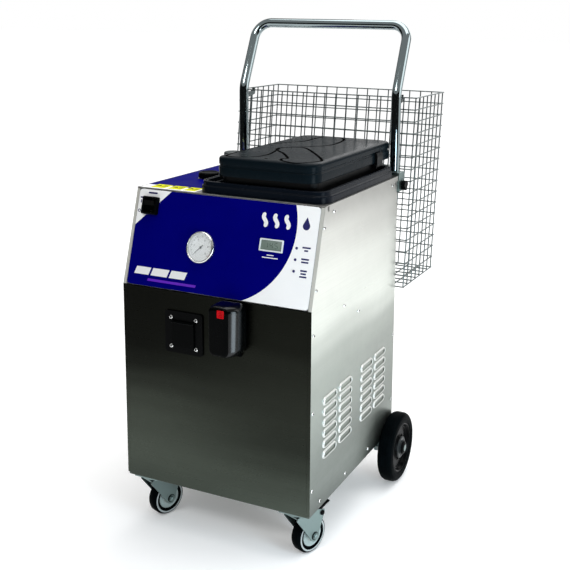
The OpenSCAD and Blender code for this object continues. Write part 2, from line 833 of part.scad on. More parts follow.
module drain_valve() {
    at = [drain_at[0], cabinet_depth, drain_at[1]];
    color("goldenrod") cabinet() translate(at) rotate([-90, 0, 0]) difference() {
        union() {
            translate([0, 0, -24]) cylinder(r = 10.5, h = 25);
            translate([0, 0, 0.01]) cylinder(r = 15, h = 8, $fn = 6);
            translate([0, 0, 8]) cylinder(r = 12, h = 20);
            translate([0, 0, 28]) cylinder(r = 8, h = 18);
            translate([0, -11, 18]) rotate([90, 0, 0]) cylinder(r = 5, h = 6);
        }
        translate([0, 0, -30]) cylinder(r = 5, h = 90);
    }
}

module drain_lever() {
    color("crimson") cabinet() translate([drain_at[0], cabinet_depth, drain_at[1]]) rotate([-90, 0, 0])
        translate([0, -17.3, 18]) rotate([90, 0, 0]) {
            cylinder(r = 8, h = 3);
            translate([0, -6, 0]) cube([48, 12, 3]);
        }
}

// ---- rear wheels ----

// Plate under the tray that carries the rear axle
module axle_bracket(side) {
    axle_z = rear_radius;
    translate([side * 186 - 2.5, 0, 0]) difference() {
        face_right() linear_extrude(5)
            polygon([
                [-cabinet_bottom + 0.01, rear_axle_y - 26], [-cabinet_bottom + 0.01, rear_axle_y + 18],
                [-axle_z + 12, rear_axle_y + 16], [-axle_z + 17, rear_axle_y + 8],
                [-axle_z + 17, rear_axle_y - 8], [-axle_z + 12, rear_axle_y - 16]
            ]);
        translate([-1, rear_axle_y, axle_z]) face_right() cylinder(r = axle_radius + running, h = 7);
    }
}

module rear_axle() {
    reach = rear_inner_x + rear_wheel_width + 1;
    color("lightgray") cabinet() for (side = [-1, 1]) axle_bracket(side);
    color("lightgray") cabinet() translate([0, rear_axle_y, rear_radius]) face_right() {
        translate([0, 0, -reach]) cylinder(r = axle_radius, h = 2 * reach);
        for (side = [0, 1]) mirror([0, 0, side]) {
            translate([0, 0, reach - 0.8]) rotate_extrude()
                polygon([[0, 0], [14, 0], [14, 1.5], [11, 4], [6, 5.6], [0, 6]]);
        }
    }
}

module rear_tyre() {
    w = rear_wheel_width;
    r = rear_radius;
    color("#17181a") cabinet() translate([rear_inner_x, rear_axle_y, r]) face_right()
        rotate_extrude($fn = 96) polygon([
            [r - 22, 2], [r - 12, 0.5], [r - 6, 1.5], [r - 2, 5], [r, 9], [r, w - 9], [r - 2, w - 5],
            [r - 6, w - 1.5], [r - 12, w - 0.5], [r - 22, w - 2]
        ]);
}

module rear_hub() {
    w = rear_wheel_width;
    r = rear_radius;
    color("#101113") cabinet() translate([rear_inner_x, rear_axle_y, r]) face_right() difference() {
        rotate_extrude($fn = 96) polygon([
            [axle_radius + running, -0.5], [20, -0.5], [22, w / 2 - 4], [r - 30, w / 2 - 4], [r - 28, 3],
            [r - 22.05, 3], [r - 22.05, w - 3], [r - 28, w - 3], [r - 30, w / 2 + 4], [22, w / 2 + 4],
            [19, w], [axle_radius + running, w]
        ]);
    }
}

module rear_tyre_right() {
    rear_tyre();
}

module rear_tyre_left() {
    mirror([1, 0, 0]) rear_tyre();
}

module rear_hub_right() {
    rear_hub();
}

module rear_hub_left() {
    mirror([1, 0, 0]) rear_hub();
}

// ---- castors ----

module at_castor(side) {
    translate([side * castor_x, castor_y, 0]) rotate([0, 0, -castor_turn]) children();
}

module castor_plates() {
    color("lightgray") cabinet() for (side = [-1, 1]) translate([side * castor_x, castor_y, 0]) {
        translate([0, 0, cabinet_bottom - plate_thickness - 0.01]) slab(58, 58, plate_thickness, 4);
        translate([0, 0, cabinet_bottom - 10]) cylinder(r = 21, h = 7.01);
        translate([0, 0, cabinet_bottom - 18]) cylinder(r = 6, h = 9);
        translate([0, 0, cabinet_bottom - 18.5]) cylinder(r = 9, h = 4);
    }
}

// Side cheek of the fork, in its own y and z, from the top plate down to the axle
function cheek_outline() = concat(
    [[-18, 92.5], [-20, 88], [castor_trail - 12, castor_radius - 2]],
    [for (a = [200:20:340]) [castor_trail + 12 * cos(a), castor_radius + 12 * sin(a)]],
    [
        [castor_trail + 13, castor_radius + 8], [castor_trail + 26, 76],
        [castor_trail + 28, 84], [castor_trail + 4, 92.5]
    ]
);

module castor_fork(side) {
    half = castor_width / 2 + 3;
    color("silver") cabinet() at_castor(side) {
        difference() {
            union() {
                for (cheek = [-1, 1])
                    translate([cheek * (half + 1.25) - 1.25, 0, 0]) rotate([90, 0, 90]) linear_extrude(2.5)
                        polygon(cheek_outline());
                translate([-half - 1, -18, 90]) cube([2 * half + 2, 44, 2.5]);
            }
            translate([0, 0, 80]) cylinder(r = 6 + running, h = 20);
            translate([-30, castor_trail, castor_radius]) face_right()
                cylinder(r = castor_axle_radius + 0.01, h = 60, $fn = 32);
            translate([-30, castor_trail + 20, 80]) face_right() cylinder(r = 3.05, h = 60, $fn = 24);
        }
        translate([-half - 5, castor_trail, castor_radius]) face_right() {
            cylinder(r = castor_axle_radius, h = 2 * half + 10, $fn = 32);
            cylinder(r = 7, h = 2.45, $fn = 6);
            translate([0, 0, 2 * half + 7.55]) cylinder(r = 7, h = 2.45, $fn = 6);
        }
    }
}

module castor_fork_left() {
    castor_fork(-1);
}

module castor_fork_right() {
    castor_fork(1);
}

module castor_wheel(side) {
    w = castor_width;
    r = castor_radius;
    color("#1a1b1c") cabinet() at_castor(side) translate([-w / 2, castor_trail, r]) face_right()
        rotate_extrude($fn = 72) polygon([
            [castor_axle_radius + running, -2], [9, -2], [11, 3], [r - 14, 3],
            [r - 11, 0], [r - 4, 0], [r, 5],
            [r, w - 5], [r - 4, w], [r - 11, w], [r - 14, w - 3], [11, w - 3], [9, w + 2],
            [castor_axle_radius + running, w + 2]
        ]);
}

module castor_wheel_left() {
    castor_wheel(-1);
}

module castor_wheel_right() {
    castor_wheel(1);
}

// Brake pedal, pivoted between the fork's cheeks behind the wheel
module castor_brake(side) {
    half = castor_width / 2 + 2.6;
    color("#121212") cabinet() at_castor(side) translate([0, castor_trail + 20, 80]) {
        translate([-half - 6, 0, 0]) face_right() cylinder(r = 3, h = 2 * half + 12, $fn = 24);
        rotate([90, 0, 90]) translate([0, 0, -half]) linear_extrude(2 * half)
            polygon([[-4.5, -3], [3, -4.5], [8, 0], [32, 8], [32, 12], [5, 6], [-4, 4]]);
    }
}

module castor_brake_left() {
    castor_brake(-1);
}

module castor_brake_right() {
    castor_brake(1);
}

// ---- inside the cabinet ----

// Steam boiler: a flanged steel vessel on a foot ring, with its safety valve and steam outlet
module boiler() {
    color("lightsteelblue") cabinet() translate([95, 280, cabinet_bottom + 2.3]) difference() {
        union() {
            cylinder(r = 70, h = 24);
            translate([0, 0, 23.9]) rotate_extrude($fn = 64) polygon([
                [0, 0], [78, 0], [88, 8], [90, 20], [90, 300], [86, 322], [70, 338], [40, 346], [0, 348]
            ]);
            translate([40, 0, 365]) cylinder(r = 8, h = 34);
            translate([-40, 20, 365]) cylinder(r = 6, h = 40);
        }
        translate([0, 0, 27]) rotate_extrude($fn = 64) polygon([
            [0, 0], [76, 0], [85, 8], [87, 18], [87, 296], [83, 317], [68, 332], [40, 340], [0, 342]
        ]);
        translate([0, 0, -1]) cylinder(r = 30, h = 40);
    }
}

module heater_element() {
    color("peru") cabinet() translate([95, 280, cabinet_bottom + 2.3]) {
        translate([0, 0, 10]) cylinder(r = 29.9, h = 17.05);
        for (side = [-1, 1]) translate([side * 14, 0, 27]) cylinder(r = 5, h = 220);
        translate([-14, 0, 247]) rotate([90, 0, 0]) rotate_extrude(angle = 180)
            translate([0, 0]) intersection() {
                translate([9, -5]) square([10, 10]);
                translate([14, 0]) circle(r = 5);
            }
    }
}

// A blow-moulded tank with its filler neck; y is the middle of its depth
module moulded_tank(y, depth, filler, neck, neck_top) {
    difference() {
        union() {
            translate([-138, y, 290]) slab(118, depth, 350, 16);
            translate([filler[0], filler[1], 639]) cylinder(r = neck, h = neck_top - 639);
        }
        translate([-138, y, 293]) slab(112, depth - 6, 344, 13);
        translate([filler[0], filler[1], 630]) cylinder(r = neck - 2.5, h = 120);
    }
}

// Water tank in front and detergent tank behind it
module supply_tanks() {
    color("aliceblue") cabinet() {
        moulded_tank(188, 136, water_cap_at, 18, cabinet_top + 1);
        moulded_tank(341, 158, detergent_cap_at, 15, cabinet_top + 31);
    }
}

module vacuum_motor() {
    color("slategray") cabinet() translate([-120, 320, cabinet_bottom + 2.3]) {
        cylinder(r = 62, h = 55);
        translate([0, 0, 54]) cylinder(r = 42, h = 70);
        translate([0, 0, 123]) cylinder(r = 16, h = 20);
    }
}

module water_pump() {
    color("tan") cabinet() translate([-120, 130, cabinet_bottom + 2.3]) {
        translate([-35, -30, 0]) cube([70, 60, 12]);
        translate([-45, 0, 45]) face_right() cylinder(r = 34, h = 90);
        translate([44, 0, 45]) face_right() cylinder(r = 14, h = 25);
    }
}

module control_board() {
    color("seagreen") cabinet() translate([-180, 30, 200]) {
        cube([160, 2, 140]);
        translate([15, 1.9, 20]) cube([40, 24, 40]);
        translate([80, 1.9, 30]) cube([30, 18, 30]);
        translate([100, 1.9, 90]) cube([40, 12, 20]);
    }
}

base_tray();
front_panel();
control_panel();
printed_overlay();
left_side_panel();
right_side_panel();
rear_panel();
top_panel();
panel_screws();
handle_tube();
handle_clamps();
clamp_knob_left();
clamp_knob_right();
basket_front();
basket_back();
basket_sides();
basket_base();
basket_hooks();
tub_tray();
waste_tank();
tank_lid();
lid_seal();
lid_latch_left();
lid_latch_right();
tank_float();
water_cap();
detergent_cap();
switch_housing();
switch_rocker();
gauge_case();
gauge_needle();
gauge_glass();
display();
indicator_lights();
socket_body();
socket_flap();
inlet_housing();
inlet_cover();
release_button();
power_gland();
drain_valve();
drain_lever();
rear_axle();
rear_tyre_left();
rear_tyre_right();
rear_hub_left();
rear_hub_right();
castor_plates();
castor_fork_left();
castor_fork_right();
castor_wheel_left();
castor_wheel_right();
castor_brake_left();
castor_brake_right();
boiler();
heater_element();
supply_tanks();
vacuum_motor();
water_pump();
control_board();
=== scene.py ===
import math

import bmesh
import bpy
from mathutils import Matrix, Vector


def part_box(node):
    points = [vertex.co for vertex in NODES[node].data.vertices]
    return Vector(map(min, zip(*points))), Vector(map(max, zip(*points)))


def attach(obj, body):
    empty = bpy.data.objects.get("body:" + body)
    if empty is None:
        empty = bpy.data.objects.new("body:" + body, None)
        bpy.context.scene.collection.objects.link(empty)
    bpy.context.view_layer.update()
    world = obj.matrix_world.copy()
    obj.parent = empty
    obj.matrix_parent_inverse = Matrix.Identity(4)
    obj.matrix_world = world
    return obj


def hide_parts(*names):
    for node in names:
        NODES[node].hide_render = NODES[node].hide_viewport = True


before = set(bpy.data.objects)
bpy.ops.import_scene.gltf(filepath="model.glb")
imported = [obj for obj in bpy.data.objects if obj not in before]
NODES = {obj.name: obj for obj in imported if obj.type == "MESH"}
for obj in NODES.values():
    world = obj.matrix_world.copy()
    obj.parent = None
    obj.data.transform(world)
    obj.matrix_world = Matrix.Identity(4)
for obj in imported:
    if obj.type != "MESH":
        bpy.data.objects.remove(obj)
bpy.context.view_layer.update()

# ---------------------------------------------------------------- places
# Distances are millimetres of the cabinet: x from its middle, y back from the front panel, z from the floor.
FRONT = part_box("front_panel")[0][1]
FOLD, TOP, SETBACK = 516.0, 704.0, 55.0
SLOPE = math.atan2(SETBACK, TOP - FOLD)
HALF = 210.0
FILM = 0.4
SIDES = ((1, "right"), (-1, "left"))


def P(x, y, z):
    """A point of the cabinet, given in millimetres, as the scene's metres."""
    return Vector((x / 1000, FRONT + y / 1000, z / 1000))


def mm(place, x, y, z):
    """A point of a transform, given in millimetres, as the scene's metres."""
    return place @ Vector((x / 1000, y / 1000, z / 1000))


def on_slope(x, s, out):
    """A point on the sloping panel: x across, s up the slope, out from its face."""
    c, n = math.cos(SLOPE), math.sin(SLOPE)
    return P(x, s * n - out * c, FOLD + s * c + out * n)


def slope_place(x, s, out=FILM):
    """A transform on the panel's film: x across, y up the slope, z outwards."""
    o = on_slope(x, s, out)
    up = (on_slope(x, s + 1, out) - o).normalized()
    normal = (on_slope(x, s, out + 1) - o).normalized()
    return Matrix.Translation(o) @ Matrix((Vector((1, 0, 0)), up, normal)).transposed().to_4x4()


def frame_of(origin, axis):
    """A transform whose z is axis, for shapes drawn flat; its x is level."""
    z = Vector(axis).normalized()
    x = Vector((0, 0, 1)).cross(z).normalized()
    return Matrix.Translation(origin) @ Matrix((x, z.cross(x), z)).transposed().to_4x4()


def footprint(node):
    """A node's width, depth, bottom and top in mm, and a transform on the floor under its middle."""
    lo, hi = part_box(node)
    under = Matrix.Translation(((lo[0] + hi[0]) / 2, (lo[1] + hi[1]) / 2, 0))
    return (hi[0] - lo[0]) * 1000, (hi[1] - lo[1]) * 1000, lo[2] * 1000, hi[2] * 1000, under


def add_object(name, data):
    obj = bpy.data.objects.new(name, data)
    bpy.context.scene.collection.objects.link(obj)
    return obj


# ---------------------------------------------------------------- camera and light
CAMERA_PLACE = P(913.2, -1471.0, 1050.5)
CAMERA_FORWARD = (-0.4003, 0.8989, -0.1780)
CAMERA_ROLL = 0.015
CAMERA_LENS = 58.67
CAMERA_SHIFT = (-0.0923, -0.1772)
NEUTRAL, COOL = (1, 1, 1), (0.76, 0.90, 1.0)
# Each light: its place, its target, its size, all in metres, then its power and colour.
LIGHTS = {
    "overhead": ((0.3, 0.5, 3.6), (0, 0, 0.3), (3.4, 3.0), 95, NEUTRAL),
    "right": ((3.4, 1.2, 1.9), (0, 0, 0.6), (2.4, 2.2), 35, NEUTRAL),
    "back": ((0.2, 3.6, 2.2), (0, 0, 0.7), (3.4, 1.8), 30, NEUTRAL),
    "strip": ((0.82, -0.52, 0.36), (0.08, -0.33, 0.36), (0.26, 0.68), 5.5, COOL),
    "front": ((-0.4, -3.2, 3.4), (0, 0, 0.5), (1.6, 0.8), 42, NEUTRAL),
}
SKY_LIGHT, SKY_SEEN = 0.45, 1.0


def camera():
    forward = Vector(CAMERA_FORWARD).normalized()
    right = Vector((forward.y, -forward.x, 0)).normalized()
    up = right.cross(forward)
    x = math.cos(CAMERA_ROLL) * right + math.sin(CAMERA_ROLL) * up
    y = -math.sin(CAMERA_ROLL) * right + math.cos(CAMERA_ROLL) * up
    obj = add_object("camera", bpy.data.cameras.new("camera"))
    obj.matrix_world = Matrix.Translation(CAMERA_PLACE) @ Matrix((x, y, -forward)).transposed().to_4x4()
    obj.data.sensor_width = 36
    obj.data.lens = CAMERA_LENS
    obj.data.shift_x, obj.data.shift_y = CAMERA_SHIFT
    bpy.context.scene.camera = obj


def lights():
    for name, (place, target, size, power, color) in LIGHTS.items():
        light = bpy.data.lights.new(name, "AREA")
        light.shape = "RECTANGLE"
        light.size, light.size_y = size
        light.energy = power
        light.color = color
        obj = add_object(name, light)
        aim = (Vector(target) - Vector(place)).normalized()
        obj.matrix_world = Matrix.Translation(place) @ aim.to_track_quat("-Z", "Y").to_matrix().to_4x4()
        obj.visible_camera = name != "strip"


def sky():
    """White all round: the light it gives is weaker than what the camera sees of it."""
    world = bpy.data.worlds.new("studio")
    bpy.context.scene.world = world
    world.use_nodes = True
    nodes, links = world.node_tree.nodes, world.node_tree.links
    nodes["Background"].inputs[0].default_value = (1, 1, 1, 1)
    ray = nodes.new("ShaderNodeLightPath")
    level = nodes.new("ShaderNodeMapRange")
    level.inputs[3].default_value = SKY_LIGHT
    level.inputs[4].default_value = SKY_SEEN
    links.new(ray.outputs["Is Camera Ray"], level.inputs[0])
    links.new(level.outputs[0], nodes["Background"].inputs[1])
    bpy.context.scene.view_settings.view_transform = "Standard"
    bpy.context.scene.view_settings.look = "None"


camera()
lights()
sky()


# ---------------------------------------------------------------- material building
class Paint:
    """A material built from nodes. Coordinates are the object's own, in metres."""

    SOCKETS = {"color": "Base Color", "rough": "Roughness", "metal": "Metallic",
               "spec": "Specular IOR Level", "coat": "Coat Weight", "coat_rough": "Coat Roughness",
               "alpha": "Alpha", "emission": "Emission Color", "glow": "Emission Strength"}

    def __init__(self, name):
        self.mat = bpy.data.materials.new(name)
        self.mat.use_nodes = True
        self.tree = self.mat.node_tree
        self.bsdf = self.tree.nodes["Principled BSDF"]
        coords = self.tree.nodes.new("ShaderNodeTexCoord")
        self.coords = coords.outputs["Object"]

    def node(self, kind, inputs=None, **settings):
        n = self.tree.nodes.new(kind)
        for key, value in settings.items():
            setattr(n, key, value)
        for key, value in (inputs or {}).items():
            self.feed(n.inputs[key], value)
        return n

    def feed(self, socket, value):
        if isinstance(value, bpy.types.NodeSocket):
            self.tree.links.new(value, socket)
            return
        if isinstance(value, (tuple, list)) and len(value) == 3 and socket.type == "RGBA":
            value = (*value, 1)
        socket.default_value = value

    def math(self, operation, a, b=0.0, clamp=False):
        n = self.node("ShaderNodeMath", operation=operation, use_clamp=clamp)
        self.feed(n.inputs[0], a)
        self.feed(n.inputs[1], b)
        return n.outputs[0]

    def add(self, a, b):
        return self.math("ADD", a, b)

    def mul(self, a, b, clamp=False):
        return self.math("MULTIPLY", a, b, clamp)

    def axes(self):
        n = self.node("ShaderNodeSeparateXYZ", {"Vector": self.coords})
        return n.outputs["X"], n.outputs["Y"], n.outputs["Z"]

    def stretched(self, scale):
        return self.node("ShaderNodeMapping", {"Vector": self.coords, "Scale": scale}).outputs[0]

    def noise(self, scale, detail=2.0, rough=0.5, vector=None):
        n = self.node("ShaderNodeTexNoise", {"Scale": scale, "Detail": detail, "Roughness": rough,
                                             "Vector": vector or self.coords})
        return n.outputs["Fac"]

    def remap(self, value, low, high, to_low, to_high, **settings):
        n = self.node("ShaderNodeMapRange", {0: value, 1: low, 2: high, 3: to_low, 4: to_high}, **settings)
        return n.outputs[0]

    def mix(self, factor, a, b, **settings):
        n = self.node("ShaderNodeMix", {0: factor, 6: a, 7: b}, data_type="RGBA", **settings)
        return n.outputs[2]

    def ramp(self, value, stops):
        """Colour by height: stops are (metres, colour), in rising order."""
        low, high = stops[0][0], stops[-1][0]
        n = self.node("ShaderNodeValToRGB", {"Fac": self.remap(value, low, high, 0.0, 1.0)})
        n.color_ramp.interpolation = "EASE"
        marks = n.color_ramp.elements
        marks[0].color = (*stops[0][1], 1)
        for place, color in stops[1:]:
            at = (place - low) / (high - low)
            marks.new(min(at, 0.999)).color = (*color, 1)
        marks.remove(marks[-1])
        return n.outputs[0]

    def bump(self, height, distance, strength=1.0):
        n = self.node("ShaderNodeBump", {"Height": height, "Distance": distance, "Strength": strength})
        self.feed(self.bsdf.inputs["Normal"], n.outputs[0])

    def set(self, **values):
        for key, value in values.items():
            self.feed(self.bsdf.inputs[self.SOCKETS[key]], value)
        return self.mat


def brushed(name, dark, light, grain, rough=0.3, tone=None):
    """Brushed sheet: fine scratches along the grain and a cloudy tone.

    tone is (near stops, far stops, axis, low, high): painted reflection and shade, a slow change of colour
    with height and along the axis.
    """
    p = Paint(name)
    x, y, z = p.axes()
    lines = p.noise(1.0, 3.0, 0.6, p.stretched(grain))
    cloud = p.noise(6.0, 2.0)
    smear = p.noise(40.0, 3.0, 0.6)
    streaks = p.add(p.mul(lines, 0.65), p.mul(cloud, 0.35))
    color = p.mix(p.remap(streaks, 0.3, 0.7, 0, 1), dark, light)
    # Painted reflection and shade: the colour is multiplied by colour ramps over height, blended along the
    # axis.
    if tone:
        near, far, axis, low, high = tone
        level = p.add(z, p.remap(cloud, 0.3, 0.7, -0.006, 0.006))
        along = p.remap(x if axis == "x" else y, low, high, 0.0, 1.0, interpolation_type="SMOOTHSTEP")
        painted_light = p.mix(along, p.ramp(level, near), p.ramp(level, far))
        color = p.mix(1.0, color, painted_light, blend_type="MULTIPLY")
    roughness = p.add(p.remap(lines, 0.3, 0.7, rough - 0.06, rough + 0.06),
                      p.remap(smear, 0.4, 0.8, 0.0, 0.07))
    p.bump(lines, 0.00004, 0.35)
    return p.set(color=color, metal=1.0, rough=roughness)


def moulded(name, color, rough=0.42, spec=0.5, scuff=0.5):
    """Moulded plastic: fine spark-eroded texture, faint dust and scuffs."""
    p = Paint(name)
    fine = p.noise(1400.0, 2.0, 0.6)
    dust = p.noise(9.0, 4.0, 0.6)
    scratch = p.noise(1.0, 4.0, 0.7, p.stretched((30, 260, 120)))
    pale = tuple(c * 1.35 + 0.006 for c in color)
    tone = p.mul(p.remap(dust, 0.45, 0.75, 0, 1), p.remap(scratch, 0.4, 0.8, 0.2, 1))
    base = p.mix(p.mul(tone, scuff, clamp=True), color, pale)
    roughness = p.add(p.remap(dust, 0.3, 0.7, rough - 0.05, rough + 0.05), p.mul(tone, 0.08))
    p.bump(p.add(fine, p.mul(scratch, 0.15)), 0.00006, 0.5)
    return p.set(color=base, rough=roughness, spec=spec)


def glossy(name, color, rough=0.16, coat=0.3, spec=0.5):
    """Shiny plastic with a very slight ripple and fine hairlines."""
    p = Paint(name)
    ripple = p.noise(55.0, 2.0)
    hair = p.noise(1.0, 5.0, 0.7, p.stretched((400, 60, 90)))
    dust = p.noise(14.0, 4.0, 0.65)
    base = p.mix(p.remap(dust, 0.5, 0.8, 0, 0.35), color, tuple(c * 1.3 + 0.002 for c in color))
    roughness = p.add(p.remap(hair, 0.35, 0.75, rough - 0.03, rough + 0.06), p.remap(dust, 0.5, 0.8, 0, 0.08))
    p.bump(p.add(ripple, p.mul(hair, 0.05)), 0.0001, 0.25)
    return p.set(color=base, rough=roughness, coat=coat, coat_rough=0.08, spec=spec)


def plated(name, color, rough=0.1, patch=0.05, stain=(0.55, 0.52, 0.47)):
    """Bright plated metal: slight haze, faint drag lines and small dull patches."""
    p = Paint(name)
    haze = p.noise(24.0, 4.0, 0.6)
    drag = p.noise(1.0, 4.0, 0.7, p.stretched((500, 500, 40)))
    spots = p.noise(160.0, 3.0, 0.7)
    mask = p.remap(spots, 0.62, 0.8, 0, 1)
    base = p.mix(p.mul(mask, 0.4), color, stain)
    roughness = p.add(p.remap(haze, 0.35, 0.7, rough - 0.02, rough + patch), p.mul(mask, 0.15))
    p.bump(drag, 0.00002, 0.2)
    return p.set(color=base, metal=1.0, rough=roughness)


def rubbery(name, color, dusty, rough=0.7, spec=0.35):
    """Rubber: pitted surface, greyed by dust where it rubs."""
    p = Paint(name)
    pits = p.noise(900.0, 3.0, 0.7)
    film = p.noise(26.0, 5.0, 0.65)
    streak = p.noise(1.0, 4.0, 0.6, p.stretched((90, 14, 14)))
    amount = p.mul(p.remap(film, 0.4, 0.7, 0.05, 0.8), p.remap(streak, 0.3, 0.7, 0.3, 1.0))
    p.bump(p.add(pits, p.mul(film, 0.4)), 0.00015, 0.5)
    return p.set(color=p.mix(amount, color, dusty), rough=p.remap(film, 0.3, 0.7, rough - 0.08, rough + 0.08),
                 spec=spec)


# ---------------------------------------------------------------- the printed film
BLUE = (0.0, 0.0, 0.135)
WHITE = (0.94, 0.95, 0.95)
# The blue field's arc: its centre across and up the slope, and its radius.
ARC_X, ARC_UP, ARC_RADIUS = 3.4, 145.2, 154.9
# The white corner's edge starts at the film's left, this far up the slope, and rises this steeply.
CORNER_X, CORNER_UP, CORNER_RISE = 207.5, 115.0, 78.0 / 80.5
BAND_BACK = 90.0


def printed_film():
    """White film with a blue field: an arc on its right, a cut corner at its top left, a band on the top."""
    p = Paint("printed_film")
    across, depth, height = (p.mul(v, 1000.0) for v in p.axes())
    up = p.math("DIVIDE", p.math("SUBTRACT", height, FOLD), math.cos(SLOPE))
    back = p.math("SUBTRACT", depth, FRONT * 1000)
    dx = p.math("SUBTRACT", across, ARC_X)
    dz = p.math("SUBTRACT", up, ARC_UP)
    far = p.math("SQRT", p.add(p.mul(dx, dx), p.mul(dz, dz)))
    field = p.math("MAXIMUM", p.math("LESS_THAN", far, ARC_RADIUS), p.math("LESS_THAN", across, ARC_X))
    edge = p.mul(p.add(across, CORNER_X), CORNER_RISE)
    corner = p.math("SUBTRACT", p.math("SUBTRACT", up, CORNER_UP), edge)
    field = p.mul(field, p.math("LESS_THAN", corner, 0.0))
    on_top = p.math("GREATER_THAN", height, TOP - 0.5)
    band = p.math("GREATER_THAN", back, BAND_BACK)
    field, band = (p.node("ShaderNodeCombineXYZ", {0: v, 1: v, 2: v}).outputs[0] for v in (field, band))
    mottle = p.noise(18.0, 3.0)
    patch = p.remap(mottle, 0.3, 0.7, 0, 1)
    blue = p.mix(patch, BLUE, tuple(c * 1.12 for c in BLUE))
    white = p.mix(patch, WHITE, tuple(c * 0.97 for c in WHITE))
    p.bump(p.noise(700.0, 2.0), 0.00003, 0.3)
    return p.set(color=p.mix(p.mix(on_top, field, band), white, blue),
                 rough=p.remap(mottle, 0.3, 0.7, 0.42, 0.52), spec=0.015)


def greys(levels, tints):
    """Stops of painted reflection and shade from (height in mm, value), with the tint fading between the
    first and the last.
    """
    n = len(levels) - 1
    return [(h / 1000, tuple(v * ((1 - k / n) * a + k / n * b) for a, b in zip(*tints)))
            for k, (h, v) in enumerate(levels)]


# Painted reflection and shade on the stainless sheet, by height: the sides light where they mirror the bright
# studio, darker low down and just under the tray; the front dark up high, most on its left, lighter low down.
SIDE_PAINTED_TINTS = ((0.86, 1.0, 0.90), (1.0, 1.0, 0.95))
SIDE_NEAR_PAINTED_LIGHT = greys([(104, 0.11), (160, 0.20), (350, 0.365), (400, 0.41), (440, 0.55), (480, 0.73), (560, 0.75),
                   (640, 0.635), (704, 0.41)], SIDE_PAINTED_TINTS)
SIDE_FAR_PAINTED_LIGHT = greys([(104, 0.20), (150, 0.27), (190, 0.22), (350, 0.31), (400, 0.38), (440, 0.57), (480, 0.73),
                  (560, 0.65), (640, 0.475), (704, 0.33)], SIDE_PAINTED_TINTS)
FRONT_PAINTED_TINTS = ((0.84, 1.0, 0.82), (0.92, 1.0, 0.78))
FRONT_LEFT_PAINTED_LIGHT = greys([(104, 0.062), (160, 0.073), (240, 0.058), (280, 0.046), (320, 0.026), (360, 0.011),
                    (400, 0.006), (440, 0.006), (516, 0.006)], FRONT_PAINTED_TINTS)
FRONT_RIGHT_PAINTED_LIGHT = greys([(104, 0.085), (160, 0.062), (200, 0.040), (240, 0.027), (280, 0.027), (320, 0.025),
                     (400, 0.019), (440, 0.012), (516, 0.011)], FRONT_PAINTED_TINTS)
SIDE_PAINTED_LIGHT = (SIDE_NEAR_PAINTED_LIGHT, SIDE_FAR_PAINTED_LIGHT, "y", FRONT + 0.03, FRONT + 0.42)
FRONT_PAINTED_LIGHT = (FRONT_LEFT_PAINTED_LIGHT, FRONT_RIGHT_PAINTED_LIGHT, "x", -0.19, 0.19)
GRAIN_BACK, GRAIN_ACROSS = (260, 5, 500), (6, 260, 420)
